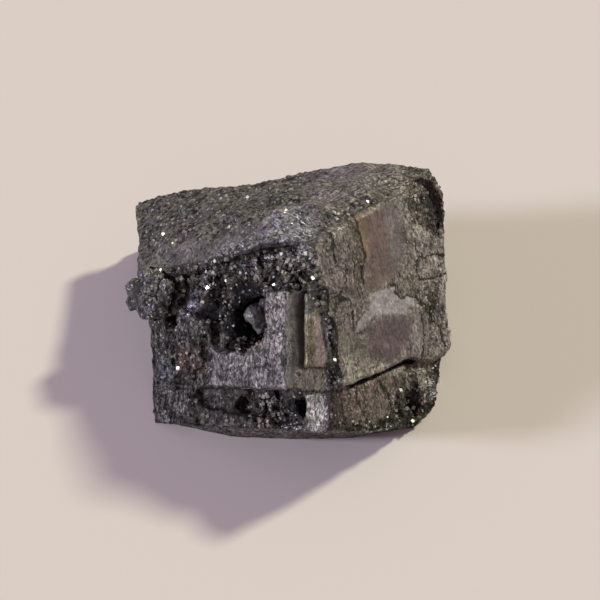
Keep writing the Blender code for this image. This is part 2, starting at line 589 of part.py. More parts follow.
def keep_one_body(obj):
    """Settles the modifiers, then drops loose crumbs and fills closed voids, so that one body is left."""
    settled = obj.evaluated_get(bpy.context.evaluated_depsgraph_get())
    bm = bmesh.new()
    bm.from_mesh(bpy.data.meshes.new_from_object(settled))
    obj.modifiers.clear()
    islands = []
    unseen = set(bm.verts)
    while unseen:
        island = {unseen.pop()}
        edge = set(island)
        while edge:
            edge = {e.other_vert(v) for v in edge for e in v.link_edges} - island
            island |= edge
        unseen -= island
        islands.append(island)
    largest = max(islands, key=len)
    crumbs = [v for island in islands if island is not largest for v in island]
    bmesh.ops.delete(bm, geom=crumbs, context="VERTS")
    bmesh.ops.triangulate(bm, faces=bm.faces)
    bm.to_mesh(obj.data)
    bm.free()


clear_scene()
galena = material("galena", (0.16, 0.15, 0.15), 0.45, 0.85)
pale = material("pale_crystal", (0.55, 0.58, 0.52), 0.2, 0.0, 0.5)

block = galena_block(galena)
cuts = tool_collection("broad_cuts")
joins = tool_collection("proud_pieces")
details = tool_collection("sharp_cuts")
sockets = tool_collection("crystal_sockets")
cut_front(cuts)
cut_right(cuts)
cut_hidden_sides(cuts)
join_front(joins)
join_right(joins)
join_cubes(joins)
cut_details(details)
crystal_piece("pale_crystal_cluster", CLUSTER_CRYSTALS, 5, pale, sockets)
crystal_piece("cavity_crystals", CAVITY_CRYSTALS, 11, pale, sockets)
add_boolean(block, cuts, "DIFFERENCE")
add_boolean(block, joins, "UNION")
add_boolean(block, details, "DIFFERENCE")
add_boolean(block, sockets, "DIFFERENCE")
keep_one_body(block)
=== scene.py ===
import math

import bmesh
import bpy
import numpy as np
from mathutils import Matrix, Vector, noise
from mathutils.bvhtree import BVHTree


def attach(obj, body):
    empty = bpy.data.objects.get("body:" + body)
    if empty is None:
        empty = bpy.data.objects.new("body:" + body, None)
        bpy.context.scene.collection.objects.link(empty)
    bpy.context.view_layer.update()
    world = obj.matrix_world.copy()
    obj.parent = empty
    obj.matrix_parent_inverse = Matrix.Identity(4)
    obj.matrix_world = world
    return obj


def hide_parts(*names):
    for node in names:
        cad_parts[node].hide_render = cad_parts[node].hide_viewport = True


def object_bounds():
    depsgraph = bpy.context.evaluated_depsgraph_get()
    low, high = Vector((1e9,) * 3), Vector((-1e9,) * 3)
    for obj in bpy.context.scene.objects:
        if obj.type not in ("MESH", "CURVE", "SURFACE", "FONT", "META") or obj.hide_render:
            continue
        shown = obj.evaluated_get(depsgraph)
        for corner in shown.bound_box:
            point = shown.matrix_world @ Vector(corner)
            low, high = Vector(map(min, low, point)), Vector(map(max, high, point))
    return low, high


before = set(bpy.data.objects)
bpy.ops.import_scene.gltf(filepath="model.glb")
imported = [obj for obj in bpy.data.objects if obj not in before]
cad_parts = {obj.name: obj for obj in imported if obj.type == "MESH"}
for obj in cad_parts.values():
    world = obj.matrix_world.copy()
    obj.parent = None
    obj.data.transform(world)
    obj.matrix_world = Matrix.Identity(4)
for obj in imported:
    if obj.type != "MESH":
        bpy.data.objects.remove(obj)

# Galena hand specimen on a pale table. Lengths in the settings are in millimetres, unless a name or a note
# says otherwise.
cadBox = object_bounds()
mm = 0.001
print("frame loaded", [round(c, 4) for c in cadBox[0]], [round(c, 4) for c in cadBox[1]])


# ---- the cleavage frames: right along a face, up along it, out of it
def faceFrame(origin, turn, roll=0.0):
    lean = math.radians(52.0)
    up = Vector((0, math.sin(lean), math.cos(lean)))
    out = Vector((0, -math.cos(lean), math.sin(lean)))
    across = Vector((1, 0, 0))
    rolled = across * math.cos(math.radians(roll)) + up * math.sin(math.radians(roll))
    rise = up * math.cos(math.radians(roll)) - across * math.sin(math.radians(roll))
    angle = math.radians(turn)
    xAxis = rolled * math.cos(angle) - out * math.sin(angle)
    zAxis = out * math.cos(angle) + rolled * math.sin(angle)
    axes = Matrix((xAxis, rise, zAxis)).transposed().to_4x4()
    return Matrix.Translation(Vector(origin)) @ axes


frontFrame = faceFrame((6.5, -12.5, 24.0), -33.0)
rightFrame = faceFrame((3.6, -0.5, 31.0), 49.5, 11.2)
# the ridge between the front and the top, from the apex to the left end, as (right, up) on the front
frontLip = [
    (-39, 10.2), (-35.7, 10.5), (-30, 10.9), (-25.1, 11.3), (-22.1, 11.9), (-17.5, 12.4), (-13.1, 13.6),
    (-8, 13.9), (-3.6, 13.6), (0, 13),
]
# the ridge between the right face and the top, as (right, up) on the right face
rightLip = [
    (-2, 0.4), (0.2, 0.7), (4.7, 2.4), (7.7, 3), (15.3, 4.6), (24.7, 6), (29, 8.4), (36, 8.8),
]


def inFrame(frameMatrix, points):
    inverse = np.array(frameMatrix.inverted())
    return points @ inverse[:3, :3].T + inverse[:3, 3]


# ---- small mesh and number helpers
def meshPoints(mesh):
    flat = np.empty(len(mesh.vertices) * 3, dtype=np.float32)
    mesh.vertices.foreach_get("co", flat)
    return flat.reshape(-1, 3).astype(float)


def meshNormals(mesh):
    flat = np.empty(len(mesh.vertices) * 3, dtype=np.float32)
    mesh.vertices.foreach_get("normal", flat)
    return flat.reshape(-1, 3).astype(float)


def setPoints(mesh, points):
    mesh.vertices.foreach_set("co", points.astype(np.float32).ravel())
    mesh.update()


def storeValue(mesh, name, values):
    layer = mesh.attributes.new(name, "FLOAT", "POINT")
    layer.data.foreach_set("value", values.astype(np.float32))


def storeColour(mesh, name, colours):
    layer = mesh.attributes.new(name, "FLOAT_COLOR", "POINT")
    full = np.ones((len(colours), 4), dtype=np.float32)
    full[:, :3] = colours
    layer.data.foreach_set("color", full.ravel())


def smooth(low, high, values):
    t = np.clip((values - low) / (high - low), 0.0, 1.0)
    return t * t * (3.0 - 2.0 * t)


def noiseAt(points, scale, offset=0.0):
    shift = Vector((offset, offset * 0.7, offset * 1.3))
    return np.array([noise.noise(Vector(p) + shift) for p in points * scale])


def cellsAt(points, scale, offset=0.0):
    shift = np.array((offset, offset * 0.7, offset * 1.3))
    return np.array([noise.cell(Vector(p)) for p in points * np.array(scale) + shift])


def layeredNoise(points, scale, octaves, offset=0.0):
    total = np.zeros(len(points))
    for octave in range(octaves):
        total += noiseAt(points, scale * 2.1 ** octave, offset + 5.0 * octave) * 0.55 ** octave
    return total


def edgeDistance(points, outline):
    # signed distance to a closed outline in the plane, positive inside
    best = np.full(len(points), 1e9)
    inside = np.zeros(len(points), dtype=bool)
    ring = [np.array(p, dtype=float) for p in outline]
    for a, b in zip(ring, ring[1:] + ring[:1]):
        along = b - a
        t = np.clip(((points - a) @ along) / max(along @ along, 1e-9), 0.0, 1.0)
        gap = points - (a + t[:, None] * along)
        best = np.minimum(best, np.hypot(gap[:, 0], gap[:, 1]))
        crosses = (a[1] > points[:, 1]) != (b[1] > points[:, 1])
        rise = b[1] - a[1] if abs(b[1] - a[1]) > 1e-9 else 1e-9
        inside ^= crosses & (points[:, 0] < a[0] + along[0] * (points[:, 1] - a[1]) / rise)
    return np.where(inside, best, -best)


def nodeCopy(nodeName, pieceName):
    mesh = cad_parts[nodeName].data.copy()
    mesh.name = pieceName
    mesh.materials.clear()
    for name in [a.name for a in mesh.attributes if a.name.startswith("UV") or a.domain == "CORNER"]:
        layer = mesh.attributes.get(name)
        if layer and not layer.is_required and not layer.is_internal:
            mesh.attributes.remove(layer)
    bm = bmesh.new()
    bm.from_mesh(mesh)
    bmesh.ops.remove_doubles(bm, verts=bm.verts, dist=1e-7)
    bmesh.ops.recalc_face_normals(bm, faces=bm.faces)
    bm.to_mesh(mesh)
    bm.free()
    piece = bpy.data.objects.new(pieceName, mesh)
    bpy.context.scene.collection.objects.link(piece)
    return piece


def settle(piece):
    # turns the piece's modifiers into plain mesh
    graph = bpy.context.evaluated_depsgraph_get()
    mesh = bpy.data.meshes.new_from_object(piece.evaluated_get(graph))
    old = piece.data
    piece.modifiers.clear()
    piece.data = mesh
    mesh.name = piece.name
    bpy.data.meshes.remove(old)
    return mesh


# ---- the block's fine skin
skinSettings = {
    "voxel": 0.34,
    "pullReach": 0.6,
    "relaxRounds": 6,
    "relaxAmount": 0.6,
    "relaxFacing": (0.55, 0.8),
    "coarse": 0.2,
    "coarsePerMm": 0.85,
    "grain": 0.12,
    "grainPerMm": 1.9,
    "steps": 0.16,
    "frontBlocksPerMm": (0.62, 0.5, 0.9),
    "frontStepsPerMm": (1.5, 1.1, 2.0),
    "rightBlocksPerMm": (0.28, 0.4, 0.9),
    "rightStepsPerMm": (1.1, 0.8, 2.0),
    "striae": 0.14,
    "striaePerMm": (1.2, 0.12, 0.3),
    "smoothWave": 0.03,
    "smoothWavePerMm": 0.5,
    "voids": 0.75,
    "voidsPerMm": 1.05,
}


def fineSkin():
    piece = nodeCopy("galena_block", "galenaBlock")
    cadTree = BVHTree.FromPolygons(
        [v.co.copy() for v in piece.data.vertices], [tuple(p.vertices) for p in piece.data.polygons]
    )
    remesh = piece.modifiers.new("fine", "REMESH")
    remesh.mode = "VOXEL"
    remesh.voxel_size = skinSettings["voxel"] * mm
    remesh.adaptivity = 0.0
    mesh = settle(piece)
    points = meshPoints(mesh)
    pulled = np.array([cadTree.find_nearest(Vector(p))[0] for p in points])
    near = np.linalg.norm(pulled - points, axis=1) < skinSettings["pullReach"] * mm
    points[near] = pulled[near]
    setPoints(mesh, points)
    return piece


def relax(piece, rounds, amount):
    # evens the skin out by the given amount at each point
    mesh = piece.data
    pairs = np.empty(len(mesh.edges) * 2, dtype=np.int32)
    mesh.edges.foreach_get("vertices", pairs)
    first, second = pairs.reshape(-1, 2).T
    count = np.bincount(pairs, minlength=len(mesh.vertices))
    here = meshPoints(mesh)
    for _ in range(rounds):
        around = np.empty_like(here)
        for axis in range(3):
            around[:, axis] = np.bincount(first, here[second, axis], len(here))
            around[:, axis] += np.bincount(second, here[first, axis], len(here))
        here += (around / count[:, None] - here) * amount[:, None]
    setPoints(mesh, here)


block = fineSkin()
upward = meshNormals(block.data)[:, 2]
amount = skinSettings["relaxAmount"] * smooth(*skinSettings["relaxFacing"], upward)
relax(block, skinSettings["relaxRounds"], amount)
points = meshPoints(block.data) / mm
normals = meshNormals(block.data)
print("fine skin", len(points), "points", len(block.data.polygons), "faces")

onFront = inFrame(frontFrame, points)
onRight = inFrame(rightFrame, points)
lipHeight = np.interp(onFront[:, 0], *zip(*frontLip))
rimHeight = np.interp(onRight[:, 0], *zip(*rightLip))
frontOut = np.array(frontFrame.to_3x3().col[2])
rightOut = np.array(rightFrame.to_3x3().col[2])

# how much each point belongs to the front, the right face and the top: each pair is where none and all of
# it does
shareSettings = {
    "upward": (0.2, 0.75),
    "aboveRidge": (-0.5, 0.5),
    "rightDepth": (-4.2, -2.8),
    "rightEdge": (-1.2, 0.2),
    "rightFacing": (0.0, 0.3),
    "frontDepth": (-7.0, -6.0),
    "frontUpward": (-0.2, 0.25),
}
s = shareSettings
topShare = smooth(*s["upward"], normals[:, 2]) * smooth(*s["aboveRidge"], onFront[:, 1] - lipHeight)
topShare *= smooth(*s["aboveRidge"], onRight[:, 1] - rimHeight)
rightShare = smooth(*s["rightDepth"], onRight[:, 2]) * smooth(*s["rightEdge"], onRight[:, 0])
rightShare *= 1 - topShare
rightShare *= smooth(*s["rightFacing"], normals @ rightOut)
frontShare = smooth(*s["frontDepth"], onFront[:, 2]) * (1 - topShare) * (1 - rightShare)
frontShare *= smooth(*s["frontUpward"], normals[:, 2])
wallShare = np.clip(1 - topShare - rightShare - frontShare, 0, 1)


# ---- patches of the faces: an outline on the face, a linear colour, then how rough, smooth, lined,
# crystal-covered (druse) and dashed it is, from 0 to 1; waver bends its outline, and soft is how far its
# edge fades either way
def patch(outline, colour, **look):
    return {"outline": outline, "colour": colour, **look}


# many patch colours are painted light: lighter ones are painted reflections on facets tilted to the light,
# near-black ones painted shade
frontPatches = [
    patch([(-36, 4), (-31, 4.6), (-26.6, 3), (-23.4, 1), (-23, -6), (-25.6, -8.4), (-36, -8.4)],
          (0.117, 0.106, 0.096), rough=0.5, smooth=0.1, lined=0.1, druse=0.08, waver=0.8, soft=0.4),
    patch([(-30.4, -2.6), (-24.9, -2.4), (-24.7, -6.5), (-30.1, -7.1)],
          (0.175, 0.13, 0.104), rough=0.5, smooth=0.1, lined=0.2, druse=0.1, waver=1.2, soft=1.2),
    patch([(-35.6, -4.8), (-31.2, -4.7), (-30.7, -8), (-34.8, -8.4)],
          (0.085, 0.088, 0.1), rough=0.44, smooth=0.3, lined=0.2, waver=1, soft=1),
    patch([(-36.4, -8), (-28.4, -8.4), (-27.6, -16), (-36.4, -16)],
          (0.165, 0.151, 0.138), rough=0.44, smooth=0.2, lined=1, dashed=0.8, waver=0.5, soft=0.5),
    patch([(-30.6, 6.4), (-26.4, 7.3), (-26.4, 4.4), (-27.5, 2.7), (-30.2, 3.4)],
          (0.12, 0.112, 0.128), rough=0.42, smooth=0.25, lined=0.2, druse=0.1, waver=0.8, soft=0.8),
    patch([(-23.6, -8.3), (-8.1, -8.3), (-8.1, 7), (-12.8, 6.8), (-12.6, -0.8), (-16, -2), (-16.6, -3.6),
           (-17.4, -2), (-20, -2.4), (-22.4, -3.4), (-22.8, -6.4)],
          (0.189, 0.17, 0.155), rough=0.44, smooth=0.6, dashed=1, waver=0.9, soft=0.15),
    patch([(-23.6, -8.3), (-8.3, -8.3), (-8.3, -6), (-11.6, -2.4), (-16, -2.6), (-22.4, -3.6)],
          (0.144, 0.129, 0.122), rough=0.46, smooth=0.5, dashed=1, waver=0.8, soft=1.2),
    # painted light: the strip beside the slot is lighter where it faces the key light
    patch([(-8.5, -8), (-7, -8), (-7.1, 7), (-8.5, 7)],
          (0.156, 0.155, 0.118), rough=0.36, smooth=0.9, waver=0.1, soft=0.2),
    # painted shade: the narrow slot is near-black
    patch([(-7.1, -4.9), (-5, -4.9), (-5, 7.2), (-7.2, 7.2)],
          (0.043, 0.035, 0.025), rough=0.42, smooth=1, soft=0.3),
    patch([(-7.1, -8.2), (-2.3, -8.2), (-1.8, -4.8), (-6.7, -4.6), (-7.1, -5.2)],
          (0.162, 0.143, 0.096), rough=0.38, smooth=0.8, waver=0.3, soft=0.3),
    # partly painted reflection: the column's warm brown, and its brighter right part below, stand in for
    # the warm key light
    patch([(-5.4, -5), (-1.7, -4.8), (-3, 6.6), (-5.4, 6.6)],
          (0.151, 0.13, 0.069), rough=0.34, smooth=0.8, lined=0.4, waver=0.1, soft=0.2),
    patch([(-3.5, -4.6), (-2.2, -4.6), (-2.6, 3.4), (-3.6, 3)],
          (0.3, 0.242, 0.19), rough=0.36, smooth=0.9, lined=0.3, waver=0.3, soft=0.5),
    patch([(-6, 8.6), (-3, 8.2), (-2.8, 4.8), (-5.6, 4.4)],
          (0.115, 0.12, 0.09), rough=0.45, smooth=0.5, lined=0.3, druse=0.1, waver=0.5, soft=0.8),
    patch([(-1.2, -4.6), (-0.5, -4.6), (-2, 2.4), (-2.6, 2.6)],
          (0.15, 0.133, 0.106), rough=0.4, smooth=0.85, lined=0.6, waver=0.2, soft=0.2),
    # painted shade: the dark line in the gap between the two columns
    patch([(-1.7, -4.8), (-1.2, -4.8), (-2.4, 3.4), (-3, 3.4)],
          (0.02, 0.018, 0.015), rough=0.5, smooth=0.8, waver=0.1, soft=0.15),
    patch([(-5.9, -8.6), (-2.3, -8.5), (-1.5, -9.2), (-1.4, -14.4), (-6.8, -14.4)],
          (0.244, 0.228, 0.192), rough=0.36, smooth=0.65, lined=0.5, dashed=0.45, waver=0.5, soft=0.3),
    patch([(-1.6, -8.3), (0.4, -8.3), (0.6, -14.6), (-1.4, -14.6)],
          (0.064, 0.045, 0.046), rough=0.46, smooth=0.3, lined=1, dashed=0.6, waver=0.3, soft=0.3),
    # painted shade: the dark band under the plate's ledge
    patch([(-27, -13.6), (-6, -14.2), (-5.8, -8.7), (-27, -8.5)],
          (0.05, 0.042, 0.035), rough=0.5, smooth=0.45, druse=0.12, waver=0.6, soft=0.6),
    patch([(-16, -9.2), (-11.6, -9.4), (-8, -13), (-8, -14.4), (-15.6, -14.4)],
          (0.087, 0.076, 0.07), rough=0.5, druse=0.8, waver=0.8, soft=0.6),
    # painted shade: the darkest hollow of the band under the ledge
    patch([(-11.8, -8.8), (-6, -8.8), (-6.2, -11.6), (-8.6, -12.2), (-12, -11.4)],
          (0.022, 0.02, 0.019), rough=0.5, smooth=0.3, druse=0.05, waver=0.5, soft=0.4),
    # painted shade: the near-black gap between the columns and the right face, with some crystals
    patch([(-2.4, 8), (-1.5, 3.2), (-1.2, -1.4), (-0.4, -4.8), (-2.4, -5.4), (-2.6, -7.6), (0.2, -8),
           (0.6, -5), (0, -1), (-0.2, 3), (-0.6, 6), (-1.6, 9)],
          (0.009, 0.008, 0.006), rough=0.5, druse=0.35, waver=0.5, soft=0.3),
    patch([(-34.5, 6.2), (-31, 6.4), (-26.4, 7), (-25.6, 3.6), (-22, 1), (-20.6, -2.4), (-16, -2),
           (-13, 0), (-12.8, 7), (-3, 7), (-1, 4), (1, 5), (-1, 12.4), (-8, 13.3), (-18, 11.8),
           (-30, 9.6), (-35, 9)],
          (0.117, 0.112, 0.087), rough=0.52, druse=1, waver=0.9, soft=0.4),
    patch([(-3.7, 7.4), (-2, 7.4), (-1, 4), (-1, 1.6), (-1.9, 1.4), (-2.5, 3), (-3.3, 5.2)],
          (0.056, 0.05, 0.03), rough=0.52, druse=0.5, waver=0.6, soft=0.4),
    patch([(-5.5, 7.6), (-3.6, 7.8), (-3.9, 5.4), (-3.4, 3.6), (-5.4, 2.6)],
          (0.15, 0.15, 0.11), rough=0.42, smooth=0.7, lined=0.3, waver=0.3, soft=0.4),
    patch([(-12.6, 9), (-3.6, 9), (-3, 6.8), (-11.9, 7)],
          (0.095, 0.1, 0.062), rough=0.52, druse=0.8, waver=1, soft=0.8),
    # painted shade: near-black holes in the crystal belt, this patch and the next three
    patch([(-20, 5.6), (-17, 7), (-14.2, 5), (-12.9, 1.6), (-14.8, -0.6), (-17.4, -1.6), (-20.8, -1.6),
           (-20.4, 2.4)],
          (0.009, 0.008, 0.008), rough=0.55, druse=0.07, waver=1, soft=0.7),
    patch([(-25, 7.8), (-21.9, 7.4), (-21.4, 4), (-23.2, 2.2), (-25.4, 3)],
          (0.013, 0.012, 0.011), rough=0.55, druse=0.02, waver=1.2, soft=0.7),
    patch([(-19.4, 8.8), (-15, 8.9), (-14, 6.6), (-16, 5.4), (-19.6, 6)],
          (0.014, 0.013, 0.012), rough=0.55, druse=0.03, waver=1, soft=0.6),
    patch([(-21.7, 1.6), (-19.2, 1.8), (-18, -1.3), (-19.4, -2.9), (-20.6, -1)],
          (0.012, 0.011, 0.011), rough=0.55, druse=0.1, waver=0.8, soft=0.5),
    patch([(-23.4, -0.4), (-21.4, -0.2), (-20.8, -2.6), (-21.6, -3.8), (-23.6, -3)],
          (0.13, 0.122, 0.112), rough=0.44, smooth=0.4, lined=0.4, waver=0.5, soft=0.3),
]
rightPatches = [
    patch([(-0.5, -1), (6, 1), (6.6, -8), (9.6, -8.6), (9.4, -21.4), (1.6, -21.7), (-0.2, -14),
           (1.6, -9.6), (-1, -5)],
          (0.189, 0.157, 0.165), rough=0.46, smooth=0.45, lined=0.5, waver=1.5, soft=1.2),
    patch([(7.8, 3), (10.6, 4), (10.9, -3.2), (9.3, -7.7), (7.6, -8), (8.4, -2)],
          (0.14, 0.122, 0.112), rough=0.5, smooth=0.3, lined=0.7, waver=0.6, soft=0.7),
    patch([(9.8, 3), (14, 4.4), (20.5, 4.4), (22.4, 1.2), (21.6, -2.6), (18.4, -6.4), (15.6, -8),
           (11.6, -8.5), (9.6, -7.4), (10.9, -3.2)],
          (0.131, 0.094, 0.092), rough=0.34, smooth=0.95, lined=0.5, waver=0.8, soft=1.3),
    patch([(9.9, 3), (12.4, 3.8), (12.9, -0.6), (12.2, -3.4), (10.9, -3.6)],
          (0.178, 0.128, 0.082), rough=0.36, smooth=0.85, lined=0.5, waver=0.6, soft=1),
    patch([(17.6, 4.2), (20.5, 4.4), (22.4, 1.2), (21.6, -2.6), (18.4, -6.4), (17.2, -5), (18, 0)],
          (0.15, 0.128, 0.139), rough=0.38, smooth=0.85, lined=0.5, waver=0.7, soft=1.4),
    patch([(0.6, -13.4), (5.5, -14.4), (7.9, -15.9), (8.6, -18.8), (3.7, -18.3), (0.2, -16.5)],
          (0.143, 0.132, 0.121), rough=0.42, smooth=0.7, lined=0.5, waver=0.6, soft=0.7),
    # painted reflection: the light grey sheen on the smooth right face
    patch([(10.3, -9.2), (15.3, -8.6), (17.5, -8.6), (16.9, -9.6), (18.4, -10.8), (19.8, -10.2),
           (22, -11.1), (21.4, -13.8), (15.3, -13), (10.1, -12.6), (8.6, -13.7), (6.5, -14.6),
           (5.3, -14.2), (6, -12.8), (9.3, -11.6)],
          (0.274, 0.257, 0.287), rough=0.4, smooth=0.9, lined=0.15, waver=0.25, soft=0.2),
    patch([(10.3, -12.9), (17.7, -13.4), (19.9, -14.4), (18.6, -17.8), (14.4, -19.8), (11, -20.4),
           (9, -19), (7.6, -16.4), (8.2, -13.8)],
          (0.114, 0.086, 0.101), rough=0.38, smooth=0.85, lined=0.5, waver=0.5, soft=0.6),
    patch([(0, -17.6), (7, -18.6), (11.6, -20.4), (9.2, -21.8), (0.4, -21.8)],
          (0.28, 0.265, 0.24), rough=0.42, smooth=0.6, lined=0.5, waver=0.6, soft=0.7),
    patch([(19.4, -12), (22.6, -12.4), (23, -15.6), (21.4, -20.6), (17.6, -20.8), (19, -17)],
          (0.206, 0.184, 0.192), rough=0.4, smooth=0.7, lined=1, waver=0.5, soft=0.7),
    patch([(24.4, 4), (24, -3), (23.6, -10), (25, -14), (24, -21.6), (36, -22), (36, 4)],
          (0.287, 0.258, 0.259), rough=0.48, smooth=0.3, lined=0.5, druse=0.03, waver=1.2, soft=0.9),
    patch([(24.4, -10.6), (28.6, -10.4), (28.4, -14.4), (25.2, -14.6)],
          (0.12, 0.108, 0.092), rough=0.5, smooth=0.1, lined=0.2, druse=0.2, waver=1.4, soft=0.8),
    patch([(25.4, 0.4), (25.4, 8.2), (36.8, 9.4), (37, -1.4), (30.4, -1.6)],
          (0.233, 0.199, 0.186), rough=0.55, smooth=0.1, lined=1, druse=0.12, waver=0.8, soft=0.5),
    patch([(29.8, 0.8), (30.6, 5), (32.4, 6.4), (34.2, 5.6), (34.2, 0.2), (32, -0.6)],
          (0.041, 0.035, 0.032), rough=0.55, smooth=0.1, lined=1, druse=0.05, waver=0.8, soft=1.2),
    patch([(-1, -21.9), (12, -21.8), (16.4, -22.2), (14.5, -25.2), (10.6, -27), (5.7, -28.4), (-2, -29)],
          (0.166, 0.129, 0.122), rough=0.46, smooth=0.45, lined=0.4, waver=0.9, soft=0.5),
    patch([(-2.5, -21.8), (0.8, -22.2), (0.5, -28), (-2.6, -28)],
          (0.066, 0.046, 0.047), rough=0.46, smooth=0.3, lined=1, dashed=0.6, waver=0.3, soft=0.3),
    # painted shade: the dark foot wall, with some crystals
    patch([(-2.5, -26.8), (0.9, -26.6), (3.3, -27.6), (7.5, -28.6), (11.2, -28.2), (16, -28.9),
           (20, -29.5), (20, -34), (-3, -34)],
          (0.075, 0.065, 0.058), rough=0.5, lined=0.2, druse=0.3, waver=0.7, soft=0.4),
    patch([(16.4, -22.2), (27, -21.8), (29, -34), (8, -34), (10.6, -27), (14.5, -25.2)],
          (0.11, 0.1, 0.086), rough=0.52, smooth=0.05, lined=0.2, druse=0.3, waver=0.9, soft=0.6),
    patch([(17, -21.6), (26, -21.6), (25, -25.6), (20.6, -26.2), (16.4, -24.6)],
          (0.28, 0.254, 0.224), rough=0.48, smooth=0.3, lined=0.4, waver=0.8, soft=0.5),
]
topPatches = [
    patch([(-26, 12), (-19, 12.4), (-12, 8.8), (-6.2, 6.8), (-4, 7), (-4.2, 4.4), (-7.4, 4.6), (-11, 4.4),
           (-15.4, 4.6), (-20, 5), (-26, 8)],
          (0.17, 0.158, 0.146), rough=0.44, smooth=0.5, lined=0.3, waver=1, soft=1.6),
    # painted reflection: the bluish bright facet at the crest
    patch([(-4.6, 4), (-4.3, 7.6), (-2.2, 10.6), (1.6, 10.6), (3.2, 6), (5, 0.6), (2.2, 0)],
          (0.207, 0.2, 0.221), rough=0.3, smooth=0.45, lined=1, druse=0.2, waver=1, soft=0.9),
    patch([(2, 26), (2.4, 10), (3, 1), (6.4, 4.7), (11.6, 11.6), (19.6, 21.6), (19, 26)],
          (0.205, 0.184, 0.192), rough=0.46, smooth=0.42, lined=0.9, waver=1.2, soft=1.5),
    patch([(-19.6, 17.6), (-17, 17), (-15, 14.3), (-16.9, 11.3), (-19.2, 13.3)],
          (0.12, 0.1, 0.094), rough=0.55, druse=0.15, waver=1.2, soft=1.2),
    patch([(10.5, 9.5), (18.2, 18.2), (20.4, 22.5), (19.5, 22.3), (17.1, 19.2), (13.8, 14.7), (11, 11.6)],
          (0.172, 0.157, 0.145), rough=0.46, smooth=0.4, lined=0.5, waver=0.6, soft=0.5),
    patch([(3.4, 1.4), (6.1, 3.6), (9.5, 7.6), (13.8, 12.6), (12.8, 14.6), (9, 10.8), (4.6, 6)],
          (0.097, 0.092, 0.086), rough=0.5, lined=0.2, druse=0.3, waver=1.4, soft=0.8),
]


def paint(shares, place, patches, looks):
    # lays patches over the base look, each with a wavering edge
    waver = noiseAt(points, 0.55, 3.0) * 1.3 + noiseAt(points, 1.7, 9.0) * 0.5
    for area in patches:
        distance = edgeDistance(place[:, :2], area["outline"]) + waver * area.get("waver", 0.0)
        weight = smooth(-area["soft"], area["soft"], distance) * shares
        for key in lookKeys:
            looks[key] += (area.get(key, 0.0) - looks[key]) * weight
        looks["colour"] += (np.array(area["colour"]) - looks["colour"]) * weight[:, None]


lookKeys = ("rough", "smooth", "lined", "druse", "dashed")
looks = {"colour": np.zeros((len(points), 3))}
for key in lookKeys:
    looks[key] = np.zeros(len(points))
# the faces' base tints are partly painted light: lighter on the right face, which faces the key light,
# darker on the front
baseLooks = [
    (frontShare, (0.104, 0.094, 0.086), 0.48, 0.1, 0.1, 0.1),
    (rightShare, (0.196, 0.176, 0.168), 0.46, 0.5, 0.35, 0.0),
    (topShare, (0.138, 0.130, 0.120), 0.46, 0.0, 0.1, 0.05),
    (wallShare, (0.140, 0.128, 0.118), 0.50, 0.2, 0.5, 0.02),
]
total = sum(share for share, *_ in baseLooks)
for share, colour, *values in baseLooks:
    part = share / total
    looks["colour"] += np.array(colour) * part[:, None]
    for key, value in zip(lookKeys, values):
        looks[key] += value * part
paint(frontShare, onFront, frontPatches, looks)
paint(rightShare, onRight, rightPatches, looks)
paint(topShare, points, topPatches, looks)

print("patches painted")

# painted glints on small facets: the share and the plane each lies on, its amount and its outline
paintedGlintSpots = [
    (frontShare, onFront, 1.0, [(-29.8, 2.6), (-27.4, 2.8), (-27.4, 4.8), (-29.4, 4.6)]),
    (frontShare, onFront, 0.45, [(-30.0, 8.4), (-12.0, 12.2), (-6.0, 13.6), (-1.0, 12.6), (-1.0, 9.0),
                                 (-8.0, 11.0), (-18.0, 10.0)]),
    (frontShare, onFront, 0.8, [(-10.5, -13.4), (-6.4, -13.6), (-6.6, -16.0), (-10.8, -15.6)]),
    (topShare, points, 1.0, [(-4.6, 4.0), (-4.3, 7.6), (-2.2, 10.6), (1.6, 10.6), (3.2, 6.0), (5.0, 0.6),
                             (2.2, 0.0)]),
    (topShare, points, 0.5, [(-12.0, 4.6), (-4.0, 3.2), (2.0, 0.2), (4.4, 0.4), (2.0, 2.6), (-5.0, 6.0),
                             (-12.0, 7.6)]),
    (rightShare, onRight, 0.7, [(21.4, -24.4), (25.6, -24.0), (25.0, -28.0), (21.6, -28.0)]),
]
flash = np.zeros(len(points))
for shares, place, amount, outline in paintedGlintSpots:
    flash = np.maximum(flash, amount * shares * smooth(-0.6, 0.6, edgeDistance(place[:, :2], outline)))

# ---- open cracks of the right face: points along each, and its width
rightCracks = [
    ([(4.1, 1.4), (3.6, -0.5), (3.4, -2.5), (3.7, -3.6)], 0.28),
    ([(10.4, 4.4), (10.8, -0.4), (11, -3.2), (9.2, -5.9), (9.4, -8)], 0.23),
    ([(1.4, -9.9), (3.3, -9), (5.2, -9.2), (5.3, -11), (4.7, -13.6)], 0.19),
    ([(5.1, -3.4), (5.8, -4.9), (4.4, -7.5), (1.9, -8.5)], 0.12),
    ([(7.4, -1), (7.9, -4), (7.2, -7.2), (8, -9.4)], 0.12),
    ([(25.3, -1.6), (24.9, -3.6), (26.4, -4.9), (30.4, -4.9), (35, -5.4)], 0.19),
    ([(25.1, -4.7), (24.1, -6.9), (24.5, -8.4), (27.7, -8.6), (35, -8)], 0.17),
    ([(22.4, -10.7), (23.4, -12.4), (26.2, -13.1), (25.7, -15.5)], 0.26),
    ([(26, -15.5), (27.4, -17), (27.8, -20.4)], 0.2),
    ([(22.8, -13.6), (22.6, -17.4), (20.6, -21)], 0.14),
    ([(18.5, -21.4), (19.4, -22.9), (19.2, -26.4)], 0.26),
    ([(23.2, -22.6), (21.4, -26.4), (20.4, -29.2)], 0.26),
    ([(4, -22), (3.8, -24.4), (5.2, -28)], 0.24),
    ([(9.7, -22.2), (11.7, -25.2), (11.6, -28.4)], 0.23),
    ([(15.6, -8.2), (17.5, -8.6), (16.9, -9.7), (18.4, -10.9), (19.8, -10.3), (22.2, -11.3)], 0.2),
    ([(-0.1, -6.5), (0.5, -9.4), (-0.3, -11.6), (0.2, -14), (-0.3, -16.5), (0, -20.5)], 0.3),
]


